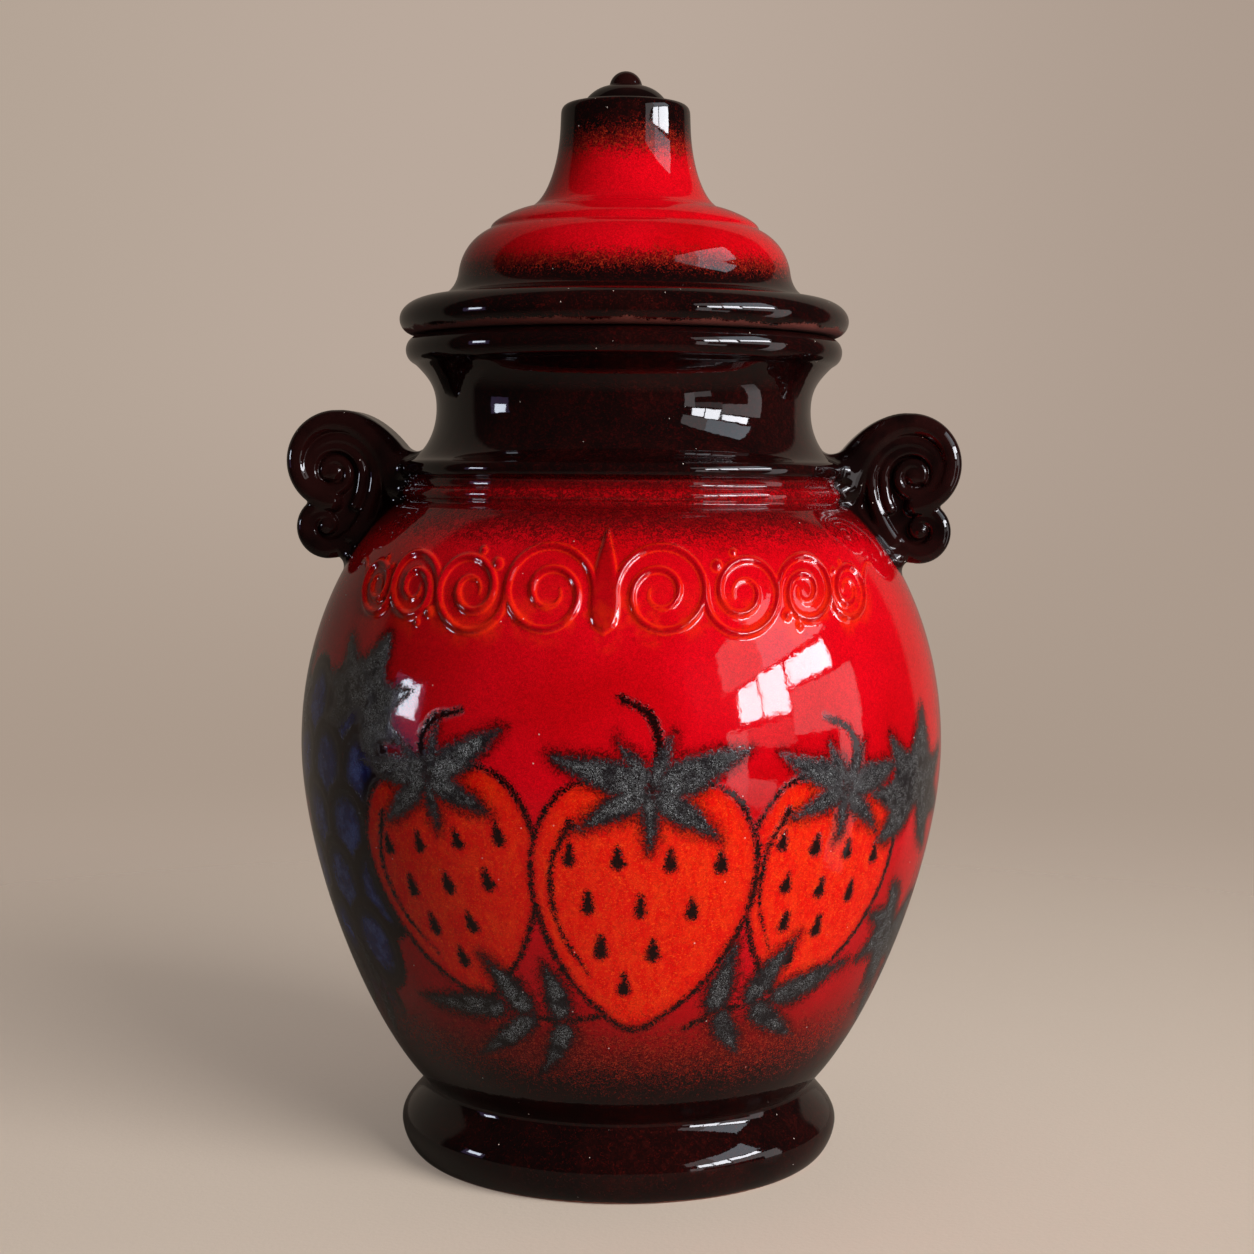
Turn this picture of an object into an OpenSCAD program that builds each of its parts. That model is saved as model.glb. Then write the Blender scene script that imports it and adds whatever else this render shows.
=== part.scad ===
// A rumtopf pot: a glazed stoneware crock with a bead foot, two scroll ears and a bell-shaped lid.
// Z points up and the ears lie along X. The origin is the middle of the foot, on the floor.
// All sizes are in millimetres, and every round piece is one profile turned about Z.

/* [Foot] */
// Outer radius of the ring that the pot stands on
foot_stand_r = 65.5; // [60:0.1:68]
// Width of the ring that the pot stands on
foot_ring_w = 8; // [5:0.5:14]
// Radius of the foot's bead at its widest
foot_bead_r = 71.4; // [68.5:0.1:78]
// Height of the bead's widest line above the floor
foot_bead_z = 10; // [6:0.5:13]
// Radius of the waist where the foot meets the belly
foot_waist_r = 63.7; // [58:0.1:67]
// Height of the waist above the floor
foot_h = 24; // [20:0.5:34]
// Depth of the recess under the pot
foot_recess_h = 5; // [2:0.5:8]

/* [Belly] */
// Radius of the belly at its widest
belly_r = 104; // [90:0.1:120]
// Height from the waist to the widest line
belly_rise = 110; // [90:1:130]
// Height from the widest line to the foot of the collar
shoulder_rise = 75.5; // [60:0.5:95]
// Slope of the flank where it leaves the waist, in degrees above level
flank_angle = 45; // [40:1:65]
// How far the flank keeps that slope
flank_reach = 27.5; // [10:0.5:34]
// How far the flank stays upright below the widest line
flank_pull = 35.5; // [20:0.5:50]
// How far the shoulder stays upright above the widest line
shoulder_pull = 41; // [25:1:50]
// Slope of the shoulder where it meets the collar, in degrees above level
shoulder_angle = 37; // [20:1:55]
// How far the shoulder keeps that slope
shoulder_reach = 12; // [5:1:20]

/* [Collar] */
// Radius where the shoulder meets the collar
collar_foot_r = 75; // [72:0.1:82]
// Height of the small step at the foot of the collar
collar_step_h = 2.6; // [1.5:0.1:5]
// Radius of the lower ring
lower_ring_r = 71.6; // [69:0.1:75]
// Height of the lower ring
lower_ring_h = 4.6; // [3:0.1:7]
// Radius of the band between the rings
collar_band_r = 69.6; // [67:0.1:71]
// Height of the band between the rings
collar_band_h = 2.8; // [1.5:0.1:5]
// Radius of the upper ring
upper_ring_r = 72; // [69:0.1:75]
// Height of the upper ring
upper_ring_h = 5.4; // [3:0.1:8]

/* [Neck and rim] */
// Radius of the neck at its narrowest
neck_r = 60.6; // [56:0.1:64]
// Height from the upper ring to the neck's narrowest line
neck_low_h = 16.6; // [12:0.1:24]
// Height from the narrowest line to the rim's bead
neck_high_h = 14; // [10:0.1:20]
// Radius of the rim's bead at its widest
rim_r = 70.5; // [67:0.1:76]
// Height of the rim's bead
rim_h = 9.2; // [7:0.1:13]
// How far the bead's rounding reaches in from the widest line
rim_round = 4.2; // [3:0.1:6]
// Radius of the mouth
mouth_r = 57.5; // [54:0.1:59]
// Depth of the straight mouth below the rim
mouth_h = 17; // [12:0.5:20]

/* [Clay] */
// Thickness of the pot's wall
wall_t = 6; // [4:0.1:8]
// Thickness of the pot's floor
floor_t = 9; // [6:0.5:14]
// Thickness of the lid's wall
lid_t = 5; // [3.5:0.1:6]
// Thickness of the lid's cap
cap_t = 6; // [4:0.5:9]

/* [Lid] */
// Radius of the lid's flange at its widest
flange_r = 72.5; // [70:0.1:79]
// Height of the flange
flange_h = 12; // [9:0.1:16]
// Height of the flange's widest line above its underside
flange_edge_h = 5; // [3.5:0.1:7]
// How far the underside's edge is rounded in
flange_under_round = 5; // [3:0.1:6]
// How far the upper side's edge is rounded in
flange_upper_round = 11; // [7:0.1:12]
// Radius of the dome where its side is steepest
dome_r = 53.6; // [53:0.1:57]
// Height of the dome's foot above the flange
dome_foot_h = 8.2; // [6:0.1:12]
// Height of the dome above its foot
dome_h = 13.9; // [10:0.1:20]
// Outer radius of the step ring
step_r = 43.3; // [40:0.1:46]
// Height of the step ring
step_h = 6.9; // [4.5:0.1:10]
// Radius of the bell where it meets the step ring
bell_foot_r = 31; // [28:0.1:34]
// Radius of the bell at its top
bell_r = 21; // [17:0.1:24]
// Height of the bell's side
bell_h = 25.7; // [18:0.1:34]
// Height of the bell's rounded cap
cap_h = 7.8; // [6:0.1:12]

/* [Knob] */
// Radius of the knob's button
button_r = 13.4; // [11:0.1:15]
// Height of the button
button_h = 5.2; // [4:0.1:8]
// Radius of the round tip
tip_r = 5.3; // [4:0.1:7]

/* [Fits] */
// Air between the rim and the lid's flange
seat_gap = 0.3; // [0.2:0.1:1]
// Air between the mouth and the lid's locating ring
ring_play = 1.2; // [0.6:0.1:2]
// Height of the locating ring
ring_h = 13; // [8:0.5:16]
// Thickness of the locating ring
ring_t = 5; // [3.5:0.1:6]
// Air between an ear and the pot where the ear is luted on
ear_gap = 0.06; // [0.05:0.01:0.2]

/* [Scroll ears] */
// Outer radius of the large volute
volute_r = 16.5; // [14:0.1:18]
// Distance of the large volute's middle outside the collar's foot
volute_out = 17.3; // [15:0.1:24]
// Height of the large volute's middle above the collar's foot
volute_up = 15; // [10:0.1:20]
// Outer radius of the small volute
curl_r = 10.2; // [9:0.1:12]
// How far the small volute's middle lies outside the large one's
curl_out = 3.1; // [-1:0.1:5]
// How far the small volute's middle lies below the large one's
curl_down = 21.5; // [20:0.1:26]
// Thickness of the ear
ear_t = 25; // [18:0.5:32]
// Depth of the carved face below the ear's roll
ear_dish = 3; // [1.5:0.1:5]
// Half width of the roll round the large volute
roll_r = 5.2; // [3.5:0.1:6]
// Half width of the roll round the small volute
curl_roll_r = 4.2; // [2.5:0.1:4.6]
// Radius of the spiral ridges where they start
ridge_r = 1.5; // [1:0.1:2]
// Turns of the spiral ridge in the large volute
volute_turns = 1.85; // [1.2:0.05:2.2]
// Turns of the spiral ridge in the small volute
curl_turns = 1.3; // [0.8:0.05:1.6]

/* [Hidden] */
$fn = 128;

// Number of straight steps in one curve of a profile
curve_steps = 10;
// Number of straight steps in the long curves of the belly
belly_steps = 18;
// Radius of the small rounded edges of the clay
edge_r = 1.5;
// How far the cap's flat top reaches out past the button
knob_seat = 0.2;

// Heights of the pot's lines above the floor
belly_z = foot_h + belly_rise;
collar_z = belly_z + shoulder_rise;
lower_ring_z = collar_z + collar_step_h;
band_z = lower_ring_z + lower_ring_h;
upper_ring_z = band_z + collar_band_h;
neck_foot_z = upper_ring_z + upper_ring_h;
neck_z = neck_foot_z + neck_low_h;
bead_z = neck_z + neck_high_h;
rim_z = bead_z + rim_h;
floor_z = foot_recess_h + floor_t;

// Heights of the lid's lines with the lid in place
seat_z = rim_z + seat_gap;
flange_z = seat_z + flange_h;
dome_foot_z = flange_z + dome_foot_h;
step_z = dome_foot_z + dome_h;
bell_z = step_z + step_h;
cap_foot_z = bell_z + bell_h;
cap_z = cap_foot_z + cap_h;

// Radii of the locating ring, which the mouth and the play set
ring_r = mouth_r - ring_play;
ring_in_r = ring_r - ring_t;

// Middles of the two volutes of the right ear, in the plane of the ears
volute = [collar_foot_r + volute_out, collar_z + volute_up];
curl = volute + [curl_out, -curl_down];
// Half of the ear's thickness over the roll, and over the carved face
roll_y = ear_t / 2;
face_y = roll_y - ear_dish;

// One step along a cubic curve that leaves a towards b and arrives at d from c
function bezier(a, b, c, d, t) =
    pow(1 - t, 3) * a + 3 * pow(1 - t, 2) * t * b + 3 * (1 - t) * t * t * c + t * t * t * d;

// Points of that curve, without its first one
function curve(a, b, c, d, n = curve_steps) = [for (i = [1 : n]) bezier(a, b, c, d, i / n)];

// A point at a distance and an angle above level from another point
function away(p, angle, distance) = p + distance * [cos(angle), sin(angle)];

// Points of an elliptical arc round c, from one angle to another
function arc(c, rx, ry, from, to, n = curve_steps) =
    [for (i = [0 : n]) let (a = from + (to - from) * i / n) c + [rx * cos(a), ry * sin(a)]];

// Direction of a path at one of its points
function heading(path, i) = let (
    d = path[min(i + 1, len(path) - 1)] - path[max(i - 1, 0)]) d / norm(d);

// A path moved sideways to its left by a thickness
function inset(path, t) =
    [for (i = [0 : len(path) - 1]) let (h = heading(path, i)) path[i] + t * [-h.y, h.x]];

function reversed(path) = [for (i = [len(path) - 1 : -1 : 0]) path[i]];

// Outer line of the belly, from the waist up to the collar
waist = [foot_waist_r, foot_h];
widest = [belly_r, belly_z];
collar_foot = [collar_foot_r, collar_z];
flank = concat([waist], curve(waist, away(waist, flank_angle, flank_reach),
    widest - [0, flank_pull], widest, belly_steps));
shoulder = curve(widest, widest + [0, shoulder_pull],
    away(collar_foot, -shoulder_angle, shoulder_reach), collar_foot, belly_steps);
belly = concat(flank, shoulder);

// Outer line of the foot, from its standing ring up to the waist
foot_low = [foot_stand_r, 0];
foot_wide = [foot_bead_r, foot_bead_z];
foot_lip = [(foot_bead_r - foot_stand_r) / 2, edge_r / 5];
bead_low_share = 0.38;
bead_high_share = 0.41;
waist_share = 0.34;
foot = concat([foot_low],
    curve(foot_low, foot_low + foot_lip, foot_wide - [0, bead_low_share * foot_bead_z],
        foot_wide),
    curve(foot_wide, foot_wide + [0, bead_high_share * (foot_h - foot_bead_z)],
        waist - [0, waist_share * (foot_h - foot_bead_z)], waist));

// Outer line of the collar: a small step, a ring, a band and a second ring
step_over_band = 1;
neck_over_band = 0.4;
step_low_handle = [-0.2, 1.2];
step_high_handle = [0.6, -1.4];
collar_step = [min(collar_band_r, lower_ring_r) + step_over_band, lower_ring_z];
collar = concat(
    curve(collar_foot, collar_foot + step_low_handle, collar_step + step_high_handle,
        collar_step, 6),
    arc([collar_band_r, lower_ring_z + lower_ring_h / 2], lower_ring_r - collar_band_r,
        lower_ring_h / 2, -60, 90, 8),
    arc([collar_band_r, upper_ring_z + upper_ring_h / 2], upper_ring_r - collar_band_r,
        upper_ring_h / 2, -90, 80, 9));

// Outer line of the neck and of the rim's bead
neck_foot_handle = [-5, 1.2];
bead_cove = 4.2;
bead_under = 1;
neck_foot = [collar_band_r + neck_over_band, neck_foot_z];
neck_waist = [neck_r, neck_z];
bead_low = [rim_r - rim_round + bead_under, bead_z];
rim_middle = [rim_r - rim_round, rim_z - rim_h / 2];
neck = concat([neck_foot],
    curve(neck_foot, neck_foot + neck_foot_handle, neck_waist - [0, neck_low_h / 2],
        neck_waist),
    curve(neck_waist, neck_waist + [0, neck_high_h / 2], bead_low - [bead_cove, bead_cove],
        bead_low));
rim = arc(rim_middle, rim_round, rim_h / 2, -66, 90, 12);
pot_outside = concat(foot, belly, collar, neck, rim);

// Inner line of the pot, from the middle of the floor up to the mouth
floor_corner = 22;
floor_pull = 8;
wall_pull = 10;
throat_pull = 12;
mouth_pull = 2;
flank_inside = inset(concat(flank, shoulder), wall_t);
inside_low = flank_inside[0];
inside_high = flank_inside[len(flank_inside) - 1];
neck_in_r = neck_r - wall_t;
mouth_z = rim_z - mouth_h;
neck_in_low = [neck_in_r, neck_foot_z + neck_low_h / 3];
neck_in_high = [neck_in_r, neck_z];
mouth_low = [mouth_r, mouth_z];
floor_edge = [inside_low.x - floor_corner, floor_z];
pot_inside = concat([[0, floor_z]], [floor_edge],
    curve(floor_edge, floor_edge + [floor_pull, 0], away(inside_low, flank_angle, -wall_pull),
        inside_low),
    [for (i = [1 : len(flank_inside) - 1]) flank_inside[i]],
    curve(inside_high, away(inside_high, -shoulder_angle, -wall_pull),
        neck_in_low - [0, throat_pull], neck_in_low),
    curve(neck_in_high, neck_in_high + [0, mouth_pull], mouth_low - [0, mouth_pull],
        mouth_low, 6),
    arc([mouth_r + edge_r, rim_z - edge_r], edge_r, edge_r, 180, 90, 4));

// Underside of the pot, from the middle out to the standing ring
stand_in_r = foot_stand_r - foot_ring_w;
pot_underside = [[0, foot_recess_h], [stand_in_r - foot_recess_h / 2, foot_recess_h],
    [stand_in_r, edge_r / 2], [stand_in_r + edge_r / 2, 0]];

module pot_body()
{
    color([0.62, 0.05, 0.05])
        rotate_extrude()
            polygon(concat(pot_underside, pot_outside, reversed(pot_inside)));
}

// Outer line of the lid, from the flange's underside up to the cap
flange_under = [flange_r - flange_under_round, seat_z];
flange_wide = [flange_r, seat_z + flange_edge_h];
flange_top = [flange_r - flange_upper_round, flange_z];
dome_side = [dome_r, dome_foot_z];
step_edge = [step_r, step_z];
bell_foot = [bell_foot_r, bell_z];
bell_top = [bell_r, cap_foot_z];
cap_edge = [button_r + knob_seat, cap_z];

// Handles of the lid's curves: slopes in degrees, lengths, and shares of a curve's height
dome_lean = 0.8;
dome_share = 0.45;
dome_top_angle = 24;
dome_top_reach = 6.5;
bell_foot_angle = 21;
bell_foot_reach = 5.9;
bell_lean = 0.9;
bell_share = 0.47;
cove_top_handle = [-4.4, 0.3];
cove_side_handle = [0.7, -4.5];
step_lip = 0.6;
step_side_handle = [-0.2, 1.8];
step_top_handle = [3.7, -0.6];
step_top_end = [0.9, -0.3];
cap_share = 0.52;
cap_edge_handle = [-1.7, -1.2];

dome = concat([dome_side], curve(dome_side, dome_side + [-dome_lean, dome_h * dome_share],
    away(step_edge, -dome_top_angle, dome_top_reach), step_edge));
bell = concat([bell_foot],
    curve(bell_foot, away(bell_foot, 180 - bell_foot_angle, bell_foot_reach),
        bell_top + [bell_lean, -bell_h * bell_share], bell_top, 14));
flange = concat(
    arc([flange_under.x, flange_wide.y], flange_under_round, flange_edge_h, -90, 0, 8),
    arc([flange_top.x, flange_wide.y], flange_upper_round, flange_h - flange_edge_h, 0, 90, 10));
step_low = step_edge + [0, step_lip];
step_high = bell_foot + step_top_end;
step_ring = concat([step_low],
    curve(step_low, step_low + step_side_handle, step_high + step_top_handle, step_high));
lid_outside = concat(flange,
    curve(flange_top, flange_top + cove_top_handle, dome_side + cove_side_handle, dome_side),
    dome, step_ring, bell,
    curve(bell_top, bell_top + [0, cap_h * cap_share], [bell_r, cap_z] + cap_edge_handle,
        cap_edge));

// Inner line of the lid, from the top of the hollow down to the locating ring
bell_inside = inset(bell, lid_t);
dome_inside = inset(dome, lid_t);
cap_in_z = cap_z - cap_t;
bell_in_top = bell_inside[len(bell_inside) - 1];
bell_in_foot = bell_inside[0];
dome_in_top = dome_inside[len(dome_inside) - 1];
crown_corner = 5;
crown_in_handle = [4, 0];
crown_side_handle = [0, 3];
bell_in_handle = [3, -1.2];
dome_in_handle = [-3, 1.4];
crown = [bell_in_top.x - crown_corner, cap_in_z];
lid_inside = concat([[0, cap_in_z]], [crown],
    curve(crown, crown + crown_in_handle, bell_in_top + crown_side_handle, bell_in_top, 6),
    [for (i = [len(bell_inside) - 2 : -1 : 0]) bell_inside[i]],
    curve(bell_in_foot, bell_in_foot + bell_in_handle, dome_in_top + dome_in_handle,
        dome_in_top, 6),
    [for (i = [len(dome_inside) - 2 : -1 : 0]) dome_inside[i]],
    [[ring_in_r, seat_z]]);

module lid()
{
    color([0.78, 0.05, 0.04])
        rotate_extrude()
            polygon(concat(lid_outside, [[0, cap_z]], lid_inside));
}

module lid_locating_ring()
{
    color([0.71, 0.40, 0.35])
        rotate_extrude()
            polygon(concat([[ring_r, seat_z], [ring_in_r, seat_z]],
                arc([ring_in_r + edge_r, seat_z - ring_h + edge_r], edge_r, edge_r, 180, 270, 4),
                arc([ring_r - edge_r, seat_z - ring_h + edge_r], edge_r, edge_r, 270, 360, 4)));
}

// Outer line of the knob: a low button with a round tip
tip_z = cap_z + button_h;
button_lip = 0.6;
button_share = 0.75;
button_lean = 2.6;
tip_handle = [2, -0.5];
button_low = [button_r, cap_z + button_lip];
tip_side = [tip_r, tip_z];
knob = concat([[0, cap_z], [button_r, cap_z], button_low],
    curve(button_low, [button_r - button_lean, cap_z + button_h * button_share],
        tip_side + tip_handle, tip_side),
    arc([0, tip_z], tip_r, tip_r, 0, 90, 12));

module lid_knob()
{
    color([0.16, 0.07, 0.07])
        rotate_extrude()
            polygon(knob);
}

// A point of the plane of the ears, at a depth to the front or back
function lifted(p, y) = [p.x, y, p.y];

// Left normal of a flat path at one of its points
function side(path, i) = let (h = heading(path, i)) [-h.y, h.x];

// A tapering round bar along a flat path at depth y, with n sides
module bar(path, radii, y, n = 6)
{
    last = len(path) - 1;
    points = [for (i = [0 : last], k = [0 : n - 1]) let (a = 360 * k / n, s = side(path, i))
        lifted(path[i] + radii[i] * cos(a) * s, y + radii[i] * sin(a))];
    sides = [for (i = [0 : last - 1], k = [0 : n - 1]) let (m = (k + 1) % n)
        [i * n + k, i * n + m, (i + 1) * n + m, (i + 1) * n + k]];
    ends = [[for (k = [n - 1 : -1 : 0]) k], [for (k = [0 : n - 1]) last * n + k]];
    polyhedron(points, concat(sides, ends), convexity = 6);
}

// A roll along a flat path, as deep to the front and back, with round edges of the given radii
module roll(path, radii, depth)
{
    for (i = [0 : len(path) - 2])
        hull()
            for (k = [i, i + 1], s = [-1, 1])
                translate(lifted(path[k], s * (depth - radii[k])))
                    rotate([90, 0, 0])
                        sphere(radii[k], $fn = 16);
}

// Points of a spiral that closes in on c by a factor each turn
function spiral(c, r, from, turns, closing, n) =
    [for (i = [0 : n]) let (t = turns * i / n, a = from - 360 * t)
        c + r * pow(closing, t) * [cos(a), sin(a)]];

// Middle of the large roll: from the collar over the volute and round to the small curl
roll_root_in = 3;
roll_root_down = 7;
root_handle = [3.5, 8];
top_handle = 8.5;
top_angle = 92;
strap_swell = 2.2;
strap_steps = 8;
roll_path_r = volute_r - roll_r;
roll_root = [collar_foot_r - roll_root_in, volute.y - roll_root_down];
roll_top = away(volute, top_angle, roll_path_r + 0.4);
roll_path = concat([roll_root],
    curve(roll_root, roll_root + root_handle, roll_top - [top_handle, 0], roll_top, strap_steps),
    [for (a = [76 : -16 : -84]) away(volute, a, roll_path_r)]);
roll_radii = [for (i = [0 : len(roll_path) - 1]) roll_r + strap_swell * max(0, 1 - i / strap_steps)];

// Middle of the small roll, from the notch between the volutes round and into the shoulder
curl_path_r = curl_r - curl_roll_r;
curl_end = [-9, -8.5];
curl_path = concat([for (a = [80 : -20 : -120]) away(curl, a, curl_path_r)], [curl + curl_end]);
curl_radii = [for (p = curl_path) curl_roll_r];
curl_depth = roll_y - 1.5;

// Middles of the spirals, which lie a little low in the large volute
eye = volute + [1.1, -3.6];
curl_eye = curl + [0.3, 0.5];
eye_r = 2.4;
curl_eye_r = 1.7;

// Spiral ridges: their first radius, the share of it left after one turn, and their steps
outer_r = 13.6;
outer_closing = 0.36;
outer_steps = 44;
inner_r = 9.6;
inner_closing = 0.45;
inner_turns = 0.7;
inner_steps = 16;
curl_ridge_r = 8;
curl_closing = 0.3;
curl_start = -152;
curl_steps = 26;
spine_low = curl + [-7.8, -3];
spine_high = eye - [outer_r, 0];
spine_low_handle = [-4, 5.5];
spine_high_handle = [-0.4, -8];
inner_low = curl + [-9.4, 7.4];
inner_high = eye - [inner_r, 0];
inner_low_handle = [-1.4, 2];
inner_high_handle = [0, -3];
spine = concat([spine_low],
    curve(spine_low, spine_low + spine_low_handle, spine_high + spine_high_handle, spine_high, 8));
outer_spiral = spiral(eye, outer_r, 180, volute_turns, outer_closing, outer_steps);
outer_ridge = concat(spine, [for (i = [1 : outer_steps]) outer_spiral[i]]);
inner_spiral = spiral(eye, inner_r, 180, inner_turns, inner_closing, inner_steps);
inner_ridge = concat([inner_low],
    curve(inner_low, inner_low + inner_low_handle, inner_high + inner_high_handle, inner_high, 5),
    [for (i = [1 : inner_steps]) inner_spiral[i]]);
curl_ridge = [for (i = [0 : curl_steps]) let (t = curl_turns * i / curl_steps)
    away(curl_eye, curl_start + 360 * t, curl_ridge_r * pow(curl_closing, t))];

// Radii that taper along a ridge from its start to its end
function tapered(path, start, end) =
    [for (i = [0 : len(path) - 1]) start + (end - start) * i / (len(path) - 1)];

// The solid between the two rolls and the pot, with its carved faces
module ear_plate()
{
    web_r = 8;
    web_in = [-6, -4];
    root_r = 3;
    neck_root = [collar_foot_r - 4, volute.y - 2];
    belly_root = curl + [-12, -5];
    rotate([90, 0, 0])
        linear_extrude(2 * face_y, center = true)
        {
            translate(volute)
                circle(volute_r - roll_r, $fn = 48);
            hull()
            {
                translate(volute + web_in)
                    circle(web_r, $fn = 32);
                translate(curl)
                    circle(curl_r - curl_roll_r, $fn = 32);
                translate(neck_root)
                    circle(root_r, $fn = 16);
                translate(belly_root)
                    circle(root_r, $fn = 16);
            }
        }
}

// The right scroll ear before it is cut to the pot
module ear_form()
{
    roll(roll_path, roll_radii, roll_y);
    roll(curl_path, curl_radii, curl_depth);
    ear_plate();
    for (y = [-face_y, face_y])
    {
        bar(outer_ridge, tapered(outer_ridge, ridge_r, ridge_r / 2), y);
        bar(inner_ridge, tapered(inner_ridge, ridge_r, ridge_r / 2), y);
        bar(curl_ridge, tapered(curl_ridge, ridge_r, ridge_r / 2), y);
        translate(lifted(eye, y))
            sphere(eye_r, $fn = 12);
        translate(lifted(curl_eye, y))
            sphere(curl_eye_r, $fn = 12);
    }
}

// The space that the pot takes up, with the air of the luted joint round it
module pot_space()
{
    rotate_extrude()
        polygon(concat([[0, foot_h]],
            [for (p = concat(belly, collar, neck)) p + [ear_gap, 0]], [[0, bead_z]]));
}

module right_handle()
{
    color([0.20, 0.05, 0.06])
        difference()
        {
            ear_form();
            pot_space();
        }
}

module left_handle()
{
    color([0.20, 0.05, 0.06])
        mirror([1, 0, 0])
            difference()
            {
                ear_form();
                pot_space();
            }
}

pot_body();
left_handle();
right_handle();
lid();
lid_locating_ring();
lid_knob();
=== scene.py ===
"""A rumtopf pot of red and black glazed stoneware, dressed for its portrait.

The pot and its lid are turned about Z, so each is one profile, drawn here with the sizes of the
CAD model in millimetres. Meshes are scaled to metres when they are made.
"""
import math

import bpy
import numpy as np
from mathutils import Matrix


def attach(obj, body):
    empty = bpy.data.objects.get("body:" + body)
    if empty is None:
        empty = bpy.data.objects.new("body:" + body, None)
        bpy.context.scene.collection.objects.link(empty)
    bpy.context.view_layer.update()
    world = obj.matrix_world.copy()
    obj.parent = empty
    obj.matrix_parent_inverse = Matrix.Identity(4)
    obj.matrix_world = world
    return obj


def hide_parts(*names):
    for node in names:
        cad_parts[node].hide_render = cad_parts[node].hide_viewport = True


MM = 0.001

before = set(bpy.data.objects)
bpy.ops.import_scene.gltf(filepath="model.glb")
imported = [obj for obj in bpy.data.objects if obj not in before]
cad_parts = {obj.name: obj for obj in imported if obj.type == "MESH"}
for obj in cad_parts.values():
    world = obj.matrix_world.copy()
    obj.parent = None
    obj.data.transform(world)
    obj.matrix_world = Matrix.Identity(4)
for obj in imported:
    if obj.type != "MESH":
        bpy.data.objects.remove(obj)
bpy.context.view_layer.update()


# Sizes of the pot in millimetres, as in the CAD model. The belly is 0.05 mm smaller, which keeps its
# finer mesh inside the CAD's facets
FOOT_STAND_R, FOOT_RING_W, FOOT_RECESS_H = 65.5, 8.0, 5.0
FOOT_BEAD_R, FOOT_BEAD_Z = 71.4, 10.0
FOOT_WAIST_R, FOOT_H = 63.7, 24.0
BELLY_R, BELLY_Z = 103.95, 134.0
FLANK_ANGLE, FLANK_REACH, FLANK_PULL = 45.0, 27.5, 35.5
SHOULDER_ANGLE, SHOULDER_REACH, SHOULDER_PULL = 37.0, 12.0, 41.0
COLLAR_R, COLLAR_Z, COLLAR_STEP_H = 75.0, 209.5, 2.6
LOWER_RING_R, LOWER_RING_H = 71.6, 4.6
BAND_R, BAND_H = 69.6, 2.8
UPPER_RING_R, UPPER_RING_H = 72.0, 5.4
NECK_R, NECK_LOW_H, NECK_HIGH_H = 60.6, 16.6, 14.0
RIM_R, RIM_H, RIM_ROUND = 70.5, 9.2, 4.2
MOUTH_R, MOUTH_H = 57.5, 17.0
WALL_T, FLOOR_T, EDGE_R = 6.0, 9.0, 1.5

LOWER_RING_Z = COLLAR_Z + COLLAR_STEP_H
BAND_Z = LOWER_RING_Z + LOWER_RING_H
UPPER_RING_Z = BAND_Z + BAND_H
NECK_FOOT_Z = UPPER_RING_Z + UPPER_RING_H
NECK_Z = NECK_FOOT_Z + NECK_LOW_H
BEAD_Z = NECK_Z + NECK_HIGH_H
RIM_Z = BEAD_Z + RIM_H

# Sizes of the lid in millimetres, as in the CAD model
SEAT_Z = RIM_Z + 0.3
LID_T, CAP_T = 5.0, 6.0
FLANGE_R, FLANGE_H, FLANGE_EDGE_H = 72.5, 12.0, 5.0
FLANGE_UNDER_ROUND, FLANGE_UPPER_ROUND = 5.0, 11.0
DOME_R, DOME_FOOT_H, DOME_H = 53.6, 8.2, 13.9
STEP_R, STEP_H = 43.3, 6.9
BELL_FOOT_R, BELL_R, BELL_H = 31.0, 21.0, 25.7
CAP_H, CAP_TAPER = 7.8, 0.18
BUTTON_R, BUTTON_H, TIP_R = 13.4, 5.2, 5.3
RING_R, RING_T, RING_H = MOUTH_R - 1.2, 5.0, 13.0

DOME_FOOT_Z = SEAT_Z + FLANGE_H + DOME_FOOT_H
STEP_Z = DOME_FOOT_Z + DOME_H
BELL_Z = STEP_Z + STEP_H
CAP_FOOT_Z = BELL_Z + BELL_H
CAP_Z = CAP_FOOT_Z + CAP_H


# Sizes of the right ear in millimetres, as in the CAD model. It lies in the plane of X and Z
VOLUTE = np.array([COLLAR_R + 17.3, COLLAR_Z + 15.0])
VOLUTE_R, ROLL_R = 16.5, 5.2
CURL = VOLUTE + np.array([3.1, -21.5])
CURL_R, CURL_ROLL_R = 10.2, 4.2
ROLL_Y, CURL_Y, FACE_Y = 12.5, 11.0, 7.8


# Curves of a profile, as lists of points (radius, height)

def bezier(a, b, c, d, steps=40):
    """A cubic curve from a to d that leaves towards b and arrives from c."""
    t = np.linspace(0, 1, steps + 1)[:, None]
    a, b, c, d = (np.array(p, float) for p in (a, b, c, d))
    return (1 - t) ** 3 * a + 3 * (1 - t) ** 2 * t * b + 3 * (1 - t) * t * t * c + t ** 3 * d


def away(point, angle, distance):
    """The point at a distance and an angle above level from another one."""
    return (point[0] + distance * math.cos(math.radians(angle)),
            point[1] + distance * math.sin(math.radians(angle)))


def arc(centre, rx, ry, start, end, steps=24):
    """An elliptical arc round a centre, from one angle to another."""
    a = np.radians(np.linspace(start, end, steps + 1))
    return np.column_stack([centre[0] + rx * np.cos(a), centre[1] + ry * np.sin(a)])


def joined(*parts):
    """The parts end to end, without points that repeat."""
    path = np.vstack([np.atleast_2d(np.array(p, float)) for p in parts])
    keep = np.concatenate([[True], np.linalg.norm(np.diff(path, axis=0), axis=1) > 1e-6])
    return path[keep]


def lengths(path):
    """Distance along a path to each of its points."""
    return np.concatenate([[0], np.cumsum(np.linalg.norm(np.diff(path, axis=0), axis=1))])


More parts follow.
